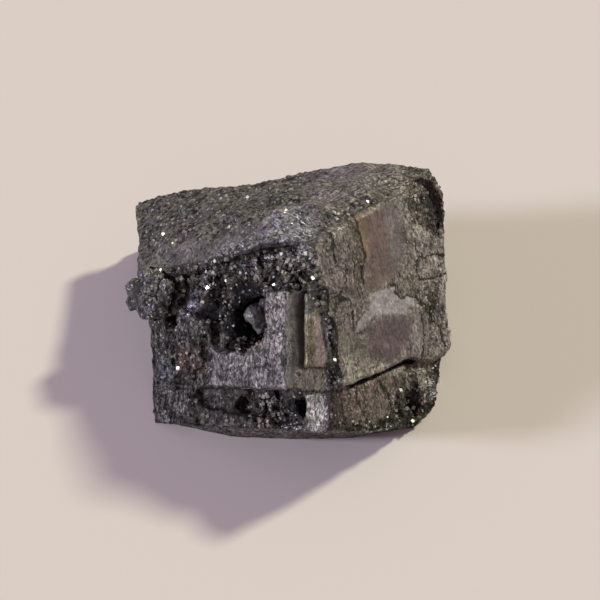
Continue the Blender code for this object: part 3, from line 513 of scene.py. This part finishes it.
def crackLines(place, cracks):
    # signed distance to the nearest crack, and that crack's width where the distance can be used
    best = np.full(len(place), 9.0)
    side = np.full(len(place), 9.0)
    width = np.zeros(len(place))
    for line, wide in cracks:
        ring = [np.array(p) for p in line]
        for i, (a, b) in enumerate(zip(ring, ring[1:])):
            along = b - a
            t = (place - a) @ along / (along @ along)
            gap = place - (a + np.clip(t, 0.0, 1.0)[:, None] * along)
            distance = np.hypot(gap[:, 0], gap[:, 1])
            beyond = ((t < 0) & (i == 0)) | ((t > 1) & (i == len(ring) - 2))
            nearer = distance < best
            best = np.where(nearer, distance, best)
            turned = along[0] * gap[:, 1] - along[1] * gap[:, 0]
            side = np.where(nearer, np.where(turned < 0, -distance, distance), side)
            width = np.where(nearer, np.where(beyond | (distance > 0.8), 0.0, wide), width)
    return side, width


crackSide, crackWidth = crackLines(onRight[:, :2], rightCracks)
crackWidth *= np.where(rightShare > 0.5, 1.0, 0.0)

# texture space of each face, in millimetres: across its lines, along them, out of it
linesAcross = np.array((-0.62, 0.78, 0.0))
linesAlong = np.array((0.78, 0.62, 0.0))
topPlace = np.stack((points @ linesAcross, points @ linesAlong, points[:, 2]), axis=1) + 60.0
faceSpace = np.where((rightShare > 0.5)[:, None], onRight - 90.0, onFront)
faceSpace = np.where((topShare > 0.5)[:, None], topPlace, faceSpace)
sideways = np.abs(normals[:, 0]) > np.abs(normals[:, 1])
wallPlace = np.where(sideways[:, None], points[:, (1, 2, 0)], points[:, (0, 2, 1)]) + 150.0
faceSpace = np.where((wallShare > 0.6)[:, None], wallPlace, faceSpace)


# ---- relief: crumbly fractures, square cleavage steps and upright striae
def relief():
    s = skinSettings
    crumble = layeredNoise(points, s["coarsePerMm"], 3, 1.0)
    grit = noiseAt(points, s["grainPerMm"], 2.0)
    frontBlocks = cellsAt(onFront, s["frontBlocksPerMm"], 0.3)
    frontBlocks += 0.6 * cellsAt(onFront, s["frontStepsPerMm"], 4.1)
    rightBlocks = cellsAt(onRight, s["rightBlocksPerMm"], 1.3)
    rightBlocks += 0.6 * cellsAt(onRight, s["rightStepsPerMm"], 2.7)
    blocks = np.where(rightShare > 0.5, rightBlocks, frontBlocks) - 0.8
    striae = noiseAt(faceSpace * np.array(s["striaePerMm"]), 1.0, 6.0)
    raw = 1 - looks["smooth"]
    face = np.clip(frontShare + rightShare + 0.5 * wallShare, 0, 1)
    height = raw * (s["coarse"] * crumble + s["grain"] * grit)
    height += raw * face * s["steps"] * blocks
    height += (0.25 + 0.75 * raw) * looks["lined"] * s["striae"] * striae
    height += looks["smooth"] * s["smoothWave"] * noiseAt(points, s["smoothWavePerMm"], 8.0)
    height -= looks["druse"] * s["voids"] * smooth(0.0, 0.4, noiseAt(points, s["voidsPerMm"], 12.0))
    return height


# the foot stands still, and the relief fades in above it
height = relief() * smooth(0.0, 0.6, points[:, 2])
moved = points + normals * height[:, None]

# beside the plate the step runs out into a smooth slope: how far it stands out of the front at two places,
# then the pairs where it fades in and out
slopeSettings = {
    "places": (-8.7, -7.4),
    "heights": (0.33, -0.2),
    "left": (-8.9, -8.5),
    "right": (-7.3, -7.6),
    "reach": (0.9, 0.5),
    "bottom": (-8.2, -7.6),
    "top": (6.9, 6.4),
}
s = slopeSettings
slope = np.interp(onFront[:, 0], s["places"], s["heights"]) - onFront[:, 2]
onSlope = smooth(*s["left"], onFront[:, 0]) * smooth(*s["right"], onFront[:, 0])
onSlope *= smooth(*s["reach"], np.abs(slope))
onSlope *= smooth(*s["bottom"], onFront[:, 1]) * smooth(*s["top"], onFront[:, 1])
moved += frontOut * (slope * onSlope)[:, None]

# the corner pit is a shallow smoky dent
pitSettings = {
    "outline": [(26.6, -1.6), (26, 4.4), (26.8, 8.4), (30.5, 9.2), (34.4, 8.4), (36, 3.6), (35, -1.8)],
    "edge": (-0.3, 0.6),
    "floor": (-2.6, -2.0),
    "brim": (0.2, -0.1),
    "filled": 0.6,
}
s = pitSettings
depth = onRight[:, 2]
inPit = smooth(*s["edge"], edgeDistance(onRight[:, :2], s["outline"]))
inPit *= smooth(*s["floor"], depth)
inPit *= smooth(*s["brim"], depth)
moved += rightOut * (-s["filled"] * depth * inPit)[:, None]

# nothing leaves the solid's box by more than a hair, and the foot stays on the table
footHeight, lowest, hair = 0.3, 0.02, 0.2
moved[:, 2] = np.where(points[:, 2] < footHeight, points[:, 2], np.maximum(moved[:, 2], lowest))
low = np.array(cadBox[0]) / mm
high = np.array(cadBox[1]) / mm
moved = np.clip(moved, low - hair, high + hair)
moved[:, 2] = np.clip(moved[:, 2], low[2], None)
setPoints(block.data, moved * mm)

# painted shade near the foot, where the walls fall into shadow: how dark each part is at most
shadeSettings = {"walls": 0.3, "rightFoot": 0.6, "rightFringe": 0.45}
s = shadeSettings
lowShade = s["walls"] * wallShare * smooth(4.0, 1.0, points[:, 2])
footShade = s["rightFoot"] * smooth(5.0, 2.0, points[:, 2]) * smooth(-1.0, 5.0, points[:, 0])
fringeShade = s["rightFringe"] * smooth(-27.6, -29.0, onRight[:, 1]) * smooth(0.0, 3.0, points[:, 0])
lowShade = np.maximum(np.maximum(lowShade, footShade), fringeShade)
looks["colour"] *= (1 - lowShade)[:, None]

# what the material and the cubes read from each point; there are few cubes on the walls and none underneath
cubeShare = looks["druse"] * np.clip(1 - wallShare, 0.15, 1) * smooth(0.3, 0.8, points[:, 2])
pointValues = {
    "sleek": looks["smooth"], "dullness": looks["rough"], "druse": cubeShare,
    # painted shade: points pushed in by the relief are darkened
    "hollow": smooth(0.0, -0.35, height), "lined": looks["lined"], "dashed": looks["dashed"],
    "flash": flash, "crackSide": crackSide, "crackWidth": crackWidth,
}
storeColour(block.data, "tint", np.clip(looks["colour"], 0.004, 1.0))
for name, values in pointValues.items():
    storeValue(block.data, name, values)
layer = block.data.attributes.new("faceSpace", "FLOAT_VECTOR", "POINT")
layer.data.foreach_set("vector", faceSpace.astype(np.float32).ravel())
print("relief done")


# ---- node helpers: a value for an input is a socket to link or a constant
def feedInputs(tree, node, inputs):
    for name, value in inputs.items():
        if isinstance(value, bpy.types.NodeSocket):
            tree.links.new(value, node.inputs[name])
        else:
            node.inputs[name].default_value = value


def newNode(tree, kind, inputs=None, **settings):
    node = tree.nodes.new(kind)
    for name, value in settings.items():
        setattr(node, name, value)
    feedInputs(tree, node, inputs or {})
    return node


def mathNode(tree, operation, first, second):
    return newNode(tree, "ShaderNodeMath", {0: first, 1: second}, operation=operation).outputs[0]


def multiply(tree, first, second):
    return mathNode(tree, "MULTIPLY", first, second)


def add(tree, first, second):
    return mathNode(tree, "ADD", first, second)


def subtract(tree, first, second):
    return mathNode(tree, "SUBTRACT", first, second)


def scaledVector(tree, vector, scale):
    return newNode(tree, "ShaderNodeVectorMath", {0: vector, "Scale": scale}, operation="SCALE").outputs[0]


def remap(tree, value, fromLow, fromHigh, toLow, toHigh):
    inputs = {"Value": value, "From Min": fromLow, "From Max": fromHigh, "To Min": toLow, "To Max": toHigh}
    return newNode(tree, "ShaderNodeMapRange", inputs).outputs["Result"]


def between(tree, share, low, high):
    return remap(tree, share, 0.0, 1.0, low, high)


def attributeValue(tree, name, output="Fac"):
    return newNode(tree, "ShaderNodeAttribute", attribute_name=name).outputs[output]


def mixColour(tree, factor, first, second):
    return newNode(tree, "ShaderNodeMix", {0: factor, 6: first, 7: second}, data_type="RGBA").outputs[2]


def noiseTexture(tree, vector, scale, detail, roughness=0.55, distortion=0.0):
    inputs = {"Vector": vector, "Scale": scale, "Detail": detail, "Roughness": roughness}
    return newNode(tree, "ShaderNodeTexNoise", {**inputs, "Distortion": distortion}).outputs["Fac"]


def stretched(tree, vector, scale):
    return newNode(tree, "ShaderNodeMapping", {"Vector": vector, "Scale": scale}).outputs["Vector"]


def cellTone(tree, cells, channel):
    # a random number of each cell
    return newNode(tree, "ShaderNodeSeparateColor", {"Color": cells.outputs["Color"]}).outputs[channel]


def newMaterial(name):
    made = bpy.data.materials.new(name)
    made.use_nodes = True
    return made, made.node_tree, made.node_tree.nodes["Principled BSDF"]


# ---- the galena's material; its texture space is in millimetres
galenaSettings = {
    "metallic": 0.55,
    "sleekMetallic": 0.3,
    "grainPerMm": 1.9,
    "facetPerMm": 2.4,
    "mottlePerMm": 0.3,
    "flakePerMm": 0.42,
    "raggedPerMm": 1.3,
    "warpPerMm": 0.45,
    "warpReach": (5.0, 5.0, 5.0),
    "rippleWave": {"Scale": 0.34, "Distortion": 14.0, "Detail": 5.0, "Detail Scale": 0.9},
    "rippleStretch": (1.0, 0.3, 1.0),
    "streakStretch": (1.5, 0.24, 1.0),
    "dashStretch": (3.2, 1.2, 3.2),
    "pitStretch": (1.4, 0.9, 1.4),
    "paintedGlintStretch": (0.7, 3.2, 2.0),
    "flakeStretch": (1.2, 0.7, 1.0),
    "bumpStrength": 0.7,
    "bumpDistance": 0.00012,
    "paintedSparkleColour": (0.7, 0.7, 0.72, 1.0),
    "paintedGlintColour": (0.8, 0.83, 0.9, 1.0),
}
# what the tint is multiplied by, where there is none of a feature and where it is full
featureTones = {
    "flake": (0.84, 1.16), "ripple": (1.0, 0.55), "dash": (1.1, 0.25), "seam": (1.04, 0.35),
    "pit": (1.22, 0.3), "hollow": (1.0, 0.3), "crack": (1.0, 0.12),
}


def galenaMaterial():
    s = galenaSettings
    made, tree, shader = newMaterial("galenaMineral")
    space = attributeValue(tree, "faceSpace", "Vector")
    tint = attributeValue(tree, "tint", "Color")
    sleek = attributeValue(tree, "sleek")
    druse = attributeValue(tree, "druse")
    lined = attributeValue(tree, "lined")
    raw = subtract(tree, 1.0, sleek)

    grain = noiseTexture(tree, space, s["grainPerMm"], 5.0, 0.65)
    broad = noiseTexture(tree, space, s["mottlePerMm"], 4.0, 0.6)
    # streaks along each face's own lines, wavy like wood grain, and thin dark ripples between them
    streaks = noiseTexture(tree, stretched(tree, space, s["streakStretch"]), 1.0, 4.0, 0.6, 0.9)
    waveInputs = {**s["rippleWave"], "Vector": stretched(tree, space, s["rippleStretch"])}
    waves = newNode(tree, "ShaderNodeTexWave", waveInputs, wave_type="BANDS", bands_direction="X")
    ripple = multiply(tree, remap(tree, waves.outputs["Fac"], 0.0, 0.22, 1.0, 0.0), lined)
    # short dark dashes, drawn out along the lines
    dashes = noiseTexture(tree, stretched(tree, space, s["dashStretch"]), 1.0, 3.0, 0.6, 0.4)
    dashShare = between(tree, attributeValue(tree, "dashed"), 0.6, 0.95)
    dash = multiply(tree, remap(tree, dashes, 0.38, 0.46, 1.0, 0.0), dashShare)
    dash = multiply(tree, dash, remap(tree, sleek, 0.6, 1.0, 1.0, 0.3))
    facetInputs = {"Scale": s["facetPerMm"], "Vector": space}
    facets = newNode(tree, "ShaderNodeTexVoronoi", facetInputs, distance="CHEBYCHEV")

    # the open cracks, with ragged edges
    ragged = remap(tree, noiseTexture(tree, space, s["raggedPerMm"], 4.0), 0.3, 0.7, -0.3, 0.3)
    fromMiddle = mathNode(tree, "ABSOLUTE", add(tree, attributeValue(tree, "crackSide"), ragged), 0.0)
    opening = remap(tree, streaks, 0.35, 0.6, 0.7, 1.6)
    opening = multiply(tree, attributeValue(tree, "crackWidth"), opening)
    crack = remap(tree, subtract(tree, opening, fromMiddle), 0.0, 0.06, 0.0, 1.0)

    # pits and painted glints: dark dents of the raw surface, and painted bright facets where patches have
    # them
    pits = noiseTexture(tree, stretched(tree, space, s["pitStretch"]), 1.0, 3.0, 0.6, 0.5)
    pit = multiply(tree, remap(tree, pits, 0.4, 0.47, 1.0, 0.0), raw)
    paintedGlintNoise = noiseTexture(tree, stretched(tree, space, s["paintedGlintStretch"]), 1.0, 2.0, 0.6, 0.8)
    flash = multiply(tree, remap(tree, paintedGlintNoise, 0.55, 0.6, 0.0, 1.0), attributeValue(tree, "flash"))

    # flakes: crooked cells a few millimetres across, each a little lighter or darker, with dark seams
    warp = newNode(tree, "ShaderNodeTexNoise", {"Scale": s["warpPerMm"], "Detail": 4.0, "Vector": space})
    warpInputs = {0: warp.outputs["Color"], 1: s["warpReach"], 2: space}
    warped = newNode(tree, "ShaderNodeVectorMath", warpInputs, operation="MULTIPLY_ADD").outputs[0]
    flakeInputs = {"Scale": s["flakePerMm"], "Vector": stretched(tree, warped, s["flakeStretch"])}
    flakes = newNode(tree, "ShaderNodeTexVoronoi", flakeInputs)
    seams = newNode(tree, "ShaderNodeTexVoronoi", flakeInputs, feature="DISTANCE_TO_EDGE")
    seam = remap(tree, seams.outputs["Distance"], 0.03, 0.08, 1.0, 0.0)
    seam = multiply(tree, seam, remap(tree, streaks, 0.42, 0.52, 0.0, 1.0))
    seam = multiply(tree, seam, remap(tree, sleek, 0.6, 0.9, 1.0, 0.15))

    # colour: the patch's tint, mottled and streaked, with painted shade in hollows, darker cracks and
    # painted glints
    fineLow = between(tree, sleek, 0.1, 0.6)
    fineHigh = between(tree, sleek, 1.95, 1.4)
    streakTone = multiply(tree, remap(tree, streaks, 0.3, 0.7, -0.35, 0.35), lined)
    tone = remap(tree, broad, 0.3, 0.7, 0.7, 1.3)
    tone = multiply(tree, tone, remap(tree, grain, 0.32, 0.68, fineLow, fineHigh))
    tone = multiply(tree, tone, add(tree, streakTone, 1.0))
    features = {
        "flake": cellTone(tree, flakes, "Red"), "ripple": ripple, "dash": dash, "seam": seam, "pit": pit,
        "hollow": attributeValue(tree, "hollow"), "crack": crack,
    }
    for name, share in features.items():
        tone = multiply(tree, tone, between(tree, share, *featureTones[name]))
    # painted sparkles: a few facet cells of the raw surface turn near-white and less metallic
    paintedSparkle = remap(tree, cellTone(tree, facets, "Red"), 0.9, 0.95, 0.0, 1.0)
    paintedSparkle = multiply(tree, paintedSparkle, remap(tree, druse, 0.0, 0.4, 0.5, 1.0))
    paintedSparkle = multiply(tree, paintedSparkle, remap(tree, facets.outputs["Distance"], 0.3, 0.45, 1.0, 0.0))
    paintedSparkle = multiply(tree, paintedSparkle, raw)
    colour = mixColour(tree, paintedSparkle, scaledVector(tree, tint, tone), s["paintedSparkleColour"])
    colour = mixColour(tree, flash, colour, s["paintedGlintColour"])

    gloss = multiply(tree, between(tree, cellTone(tree, facets, "Green"), -0.12, 0.12), raw)
    gloss = add(tree, gloss, add(tree, attributeValue(tree, "dullness"), 0.06))
    gloss = add(tree, gloss, remap(tree, broad, 0.3, 0.7, 0.06, -0.06))
    gloss = subtract(tree, gloss, multiply(tree, flash, 0.2))
    metal = between(tree, sleek, s["metallic"], s["sleekMetallic"])
    metal = multiply(tree, metal, between(tree, paintedSparkle, 1.0, 0.1))

    # bump: grains where it is raw, lines where it is lined, and the cracks
    bumpHeight = add(tree, multiply(tree, facets.outputs["Distance"], raw), streakTone)
    bumpHeight = add(tree, bumpHeight, multiply(tree, grain, between(tree, raw, 0.25, 1.2)))
    for groove in (crack, seam, dash, multiply(tree, ripple, 0.4), pit):
        bumpHeight = subtract(tree, bumpHeight, groove)
    bumpInputs = {"Strength": s["bumpStrength"], "Distance": s["bumpDistance"], "Height": bumpHeight}
    bump = newNode(tree, "ShaderNodeBump", bumpInputs).outputs["Normal"]
    feedInputs(tree, shader, {"Base Color": colour, "Roughness": gloss, "Metallic": metal, "Normal": bump})
    return made


block.data.materials.clear()
block.data.materials.append(galenaMaterial())

# broken places keep their small facets, sleek ones are rounded
corners = np.empty(len(block.data.polygons) * 4, dtype=np.int32)
block.data.polygons.foreach_get("vertices", corners)
faceSleek = looks["smooth"][corners.reshape(-1, 4)].mean(axis=1)
block.data.polygons.foreach_set("use_smooth", faceSleek > 0.28)

cubeSettings = {
    "tint": (0.31, 0.296, 0.27),
    "metallic": 0.75,
    "cloudsPerMetre": 700.0,
    "darkest": 0.1,
    "brightest": 2.0,
    "dull": 0.55,
    "glossy": 0.27,
}


def cubeMaterial():
    s = cubeSettings
    made, tree, shader = newMaterial("galenaCubes")
    coordinates = newNode(tree, "ShaderNodeTexCoord").outputs["Object"]
    own = attributeValue(tree, "ownTone")
    clouds = remap(tree, noiseTexture(tree, coordinates, s["cloudsPerMetre"], 3.0), 0.35, 0.65, 0.4, 1.5)
    tone = multiply(tree, between(tree, own, s["darkest"], s["brightest"]), clouds)
    feedInputs(tree, shader, {
        "Base Color": scaledVector(tree, s["tint"], tone),
        "Roughness": between(tree, own, s["dull"], s["glossy"]),
        "Metallic": s["metallic"],
    })
    return made


# ---- Geometry Nodes: small blocks scattered over a piece where one of its own values says so
def randomValue(tree, kind, low, high, seed):
    node = newNode(tree, "FunctionNodeRandomValue", {"Seed": seed}, data_type=kind)
    ends = [i for i, socket in enumerate(node.inputs) if socket.enabled and socket.name in ("Min", "Max")]
    feedInputs(tree, node, dict(zip(ends, (low, high))))
    return next(socket for socket in node.outputs if socket.enabled)


def scatterGroup(groupName, instanceMaterial):
    tree = bpy.data.node_groups.new(groupName, "GeometryNodeTree")
    wanted = {
        "Geometry": "Geometry", "Ground": "Object", "Mask": "String", "Per square metre": "Float",
        "Smallest": "Float", "Largest": "Float", "Wobble": "Float", "Sink": "Float", "Seed": "Int",
    }
    for name, kind in wanted.items():
        tree.interface.new_socket(name, in_out="INPUT", socket_type="NodeSocket" + kind)
    tree.interface.new_socket("Geometry", in_out="OUTPUT", socket_type="NodeSocketGeometry")
    given = newNode(tree, "NodeGroupInput").outputs

    ground = newNode(tree, "GeometryNodeObjectInfo", {"Object": given["Ground"]})
    mask = newNode(tree, "GeometryNodeInputNamedAttribute", {"Name": given["Mask"]}, data_type="FLOAT")
    spread = newNode(tree, "GeometryNodeDistributePointsOnFaces", {
        "Mesh": ground.outputs["Geometry"],
        "Density": multiply(tree, mask.outputs["Attribute"], given["Per square metre"]),
        "Seed": given["Seed"],
    }, distribute_method="RANDOM")
    place = newNode(tree, "GeometryNodeSetPosition", {
        "Geometry": spread.outputs["Points"],
        "Offset": scaledVector(tree, spread.outputs["Normal"], given["Sink"]),
    })
    spinSeed = add(tree, given["Seed"], 7)
    spin = randomValue(tree, "FLOAT_VECTOR", (-1.0, -1.0, -1.0), (1.0, 1.0, 1.0), spinSeed)
    cube = newNode(tree, "GeometryNodeMeshCube", {"Size": (1.0, 1.0, 1.0)})
    onPoints = newNode(tree, "GeometryNodeInstanceOnPoints", {
        "Points": place.outputs["Geometry"],
        "Instance": cube.outputs["Mesh"],
        "Rotation": scaledVector(tree, spin, given["Wobble"]),
        "Scale": randomValue(tree, "FLOAT", given["Smallest"], given["Largest"], given["Seed"]),
    })
    keep = newNode(tree, "GeometryNodeStoreNamedAttribute", {
        "Geometry": onPoints.outputs["Instances"],
        "Name": "ownTone",
        "Value": randomValue(tree, "FLOAT", 0.0, 1.0, given["Seed"]),
    }, data_type="FLOAT", domain="INSTANCE")
    real = newNode(tree, "GeometryNodeRealizeInstances", {"Geometry": keep.outputs["Geometry"]})
    finish = newNode(tree, "GeometryNodeSetMaterial", {
        "Geometry": real.outputs["Geometry"], "Material": instanceMaterial,
    })
    newNode(tree, "NodeGroupOutput", {"Geometry": finish.outputs["Geometry"]})
    return tree


def scatter(pieceName, group, values):
    piece = bpy.data.objects.new(pieceName, bpy.data.meshes.new(pieceName))
    bpy.context.scene.collection.objects.link(piece)
    modifier = piece.modifiers.new("scatter", "NODES")
    modifier.node_group = group
    sockets = {item.name: item.identifier for item in group.interface.items_tree if item.in_out == "INPUT"}
    for name, value in values.items():
        modifier[sockets[name]] = value
    bpy.context.view_layer.update()
    mesh = settle(piece)
    print(pieceName, len(mesh.polygons) * 2, "triangles")
    return piece


druseSettings = {
    "Ground": block,
    "Mask": "druse",
    "Per square metre": 2.2e6,
    "Smallest": 0.2 * mm,
    "Largest": 0.58 * mm,
    "Wobble": 3.1,
    "Sink": -0.05 * mm,
    "Seed": 12,
}
druse = scatter("druseCubes", scatterGroup("looseCubes", cubeMaterial()), druseSettings)

# ---- the pale crystals
crystalSettings = {
    "bevel": 0.2,
    "voxel": 0.14,
    "bump": 0.1,
    "cloudsPerMetre": 520.0,
    "grainsPerMetre": 2300.0,
    "transmission": 0.35,
    "sugarTransmission": 0.2,
    "refraction": 1.5,
    "dark": (0.02, 0.019, 0.017, 1.0),
    "pale": (0.34, 0.33, 0.33, 1.0),
    "bright": (0.48, 0.455, 0.465, 1.0),
}


def crystalMaterial():
    s = crystalSettings
    made, tree, shader = newMaterial("paleCrystal")
    coordinates = newNode(tree, "ShaderNodeTexCoord").outputs["Object"]
    cloud = noiseTexture(tree, coordinates, s["cloudsPerMetre"], 5.0, 0.65)
    cells = newNode(tree, "ShaderNodeTexVoronoi", {"Scale": s["grainsPerMetre"], "Vector": coordinates})
    # sugary: each grain is its own grey, and clear places let the dark stone behind show
    speckle = multiply(tree, cellTone(tree, cells, "Red"), remap(tree, cloud, 0.35, 0.65, 0.1, 1.5))
    even = multiply(tree, remap(tree, cloud, 0.3, 0.7, 0.25, 0.75), attributeValue(tree, "glow"))
    amount = newNode(tree, "ShaderNodeMix", {0: attributeValue(tree, "clear"), 2: speckle, 3: even})
    height = add(tree, cloud, cells.outputs["Distance"])
    bump = newNode(tree, "ShaderNodeBump", {"Strength": 0.6, "Distance": 0.0002, "Height": height})
    feedInputs(tree, shader, {
        "Base Color": mixColour(tree, amount.outputs[0], s["dark"], s["pale"]),
        "Roughness": remap(tree, cloud, 0.3, 0.7, 0.4, 0.18),
        "Transmission Weight": s["transmission"],
        "IOR": s["refraction"],
        "Normal": bump.outputs["Normal"],
    })
    return made


def sugarMaterial():
    # small grains, from nearly black to nearly white
    s = crystalSettings
    made, tree, shader = newMaterial("crystalSugar")
    own = mathNode(tree, "POWER", attributeValue(tree, "ownTone"), 2.0)
    feedInputs(tree, shader, {
        "Base Color": mixColour(tree, own, s["dark"], s["bright"]),
        "Roughness": 0.3,
        "Transmission Weight": s["sugarTransmission"],
        "IOR": s["refraction"],
    })
    return made


paleLook = crystalMaterial()


def paleCrystals(nodeName, pieceName):
    # a lump with worn edges and a fine, slightly lumpy skin
    s = crystalSettings
    piece = nodeCopy(nodeName, pieceName)
    bevel = piece.modifiers.new("worn edges", "BEVEL")
    bevel.width = s["bevel"] * mm
    bevel.segments = 2
    bevel.limit_method = "ANGLE"
    bevel.angle_limit = math.radians(20)
    settle(piece)
    remesh = piece.modifiers.new("fine", "REMESH")
    remesh.mode = "VOXEL"
    remesh.voxel_size = s["voxel"] * mm
    mesh = settle(piece)
    here = meshPoints(mesh) / mm
    lumps = layeredNoise(here, 1.1, 3, 20.0)
    setPoints(mesh, (here + meshNormals(mesh) * (lumps * s["bump"])[:, None]) * mm)
    mesh.materials.clear()
    mesh.materials.append(paleLook)
    mesh.shade_smooth()
    return piece, here


# the lump on the end is sugary but for its clear tip
cluster, here = paleCrystals("pale_crystal_cluster", "paleCluster")
clear = smooth(-23.4, -24.8, here[:, 0])
storeValue(cluster.data, "clear", clear)
storeValue(cluster.data, "sugar", 1.0 - clear)
storeValue(cluster.data, "glow", np.full(len(here), 0.42))

# the crystals in the cavity are clear, and darker towards their tips
cavityCrystals, here = paleCrystals("cavity_crystals", "cavityCrystals")
tipShare = smooth(2.4, 3.6, inFrame(frontFrame, here)[:, 1])
storeValue(cavityCrystals.data, "clear", np.full(len(here), 0.85))
storeValue(cavityCrystals.data, "glow", 1.9 * (1 - 0.5 * tipShare))

sugarSettings = {
    "Ground": cluster,
    "Mask": "sugar",
    "Per square metre": 6.0e6,
    "Smallest": 0.14 * mm,
    "Largest": 0.42 * mm,
    "Wobble": 3.1,
    "Sink": -0.04 * mm,
    "Seed": 31,
}
sugar = scatter("sugarGrains", scatterGroup("sugarCubes", sugarMaterial()), sugarSettings)
print("crystals", len(cluster.data.polygons), len(cavityCrystals.data.polygons))

# ---- table, light and camera
stageSettings = {
    "floor": (0.84, 0.77, 0.74),
    "keyAim": (1.12, 0.72, 1.0),
    "keyColour": (0.979, 1.0, 0.751),
    "keyStrength": 2.3,
    "keyAngle": 7.0,
    "fillAim": (-2.6, -0.55, 1.0),
    "fillColour": (0.817, 0.817, 1.0),
    "fillStrength": 2.2,
    "fillAngle": 9.0,
    "world": (0.2115, 0.1608, 0.1788),
    "cameraPlace": (1.355, -117.302, 166.736),
    "cameraTilt": 38.0,
    "cameraAngle": 27.98,
}


def floorPlane():
    size = 3.0
    mesh = bpy.data.meshes.new("floor")
    corners = [(-size, -size, 0), (size, -size, 0), (size, size, 0), (-size, size, 0)]
    mesh.from_pydata(corners, [], [(0, 1, 2, 3)])
    floor = bpy.data.objects.new("floor", mesh)
    bpy.context.scene.collection.objects.link(floor)
    made, tree, shader = newMaterial("paleTable")
    colour = (*stageSettings["floor"], 1.0)
    feedInputs(tree, shader, {"Base Color": colour, "Roughness": 0.9, "Specular IOR Level": 0.0})
    mesh.materials.append(made)
    return floor


def sun(name, aim, colour, strength, angle):
    lamp = bpy.data.lights.new(name, "SUN")
    lamp.color = colour
    lamp.energy = strength
    lamp.angle = math.radians(angle)
    holder = bpy.data.objects.new(name, lamp)
    bpy.context.scene.collection.objects.link(holder)
    holder.rotation_euler = Vector(aim).to_track_quat("Z", "Y").to_euler()
    return holder


floor = floorPlane()
s = stageSettings
sun("keyLight", s["keyAim"], s["keyColour"], s["keyStrength"], s["keyAngle"])
sun("fillLight", s["fillAim"], s["fillColour"], s["fillStrength"], s["fillAngle"])
world = bpy.data.worlds.new("room")
world.use_nodes = True
world.node_tree.nodes["Background"].inputs["Color"].default_value = (*s["world"], 1.0)
bpy.context.scene.world = world
bpy.context.scene.view_settings.view_transform = "Standard"

camera = bpy.data.objects.new("camera", bpy.data.cameras.new("camera"))
bpy.context.scene.collection.objects.link(camera)
camera.data.sensor_width = 36.0
camera.data.angle = math.radians(s["cameraAngle"])
camera.location = [c * mm for c in s["cameraPlace"]]
camera.rotation_euler = (math.radians(s["cameraTilt"]), 0.0, 0.0)
camera.data.clip_start = 0.005
camera.data.clip_end = 20.0
bpy.context.scene.camera = camera
print("stage set")

# ---- hand the pieces to the frame
handed = [
    (block, "galena"), (druse, "galena"), (cluster, "pale_crystal"), (sugar, "pale_crystal"),
    (cavityCrystals, "pale_crystal"),
]
for piece, slotName in handed:
    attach(piece, "root")
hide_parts("galena_block")
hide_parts("pale_crystal_cluster")
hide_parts("cavity_crystals")
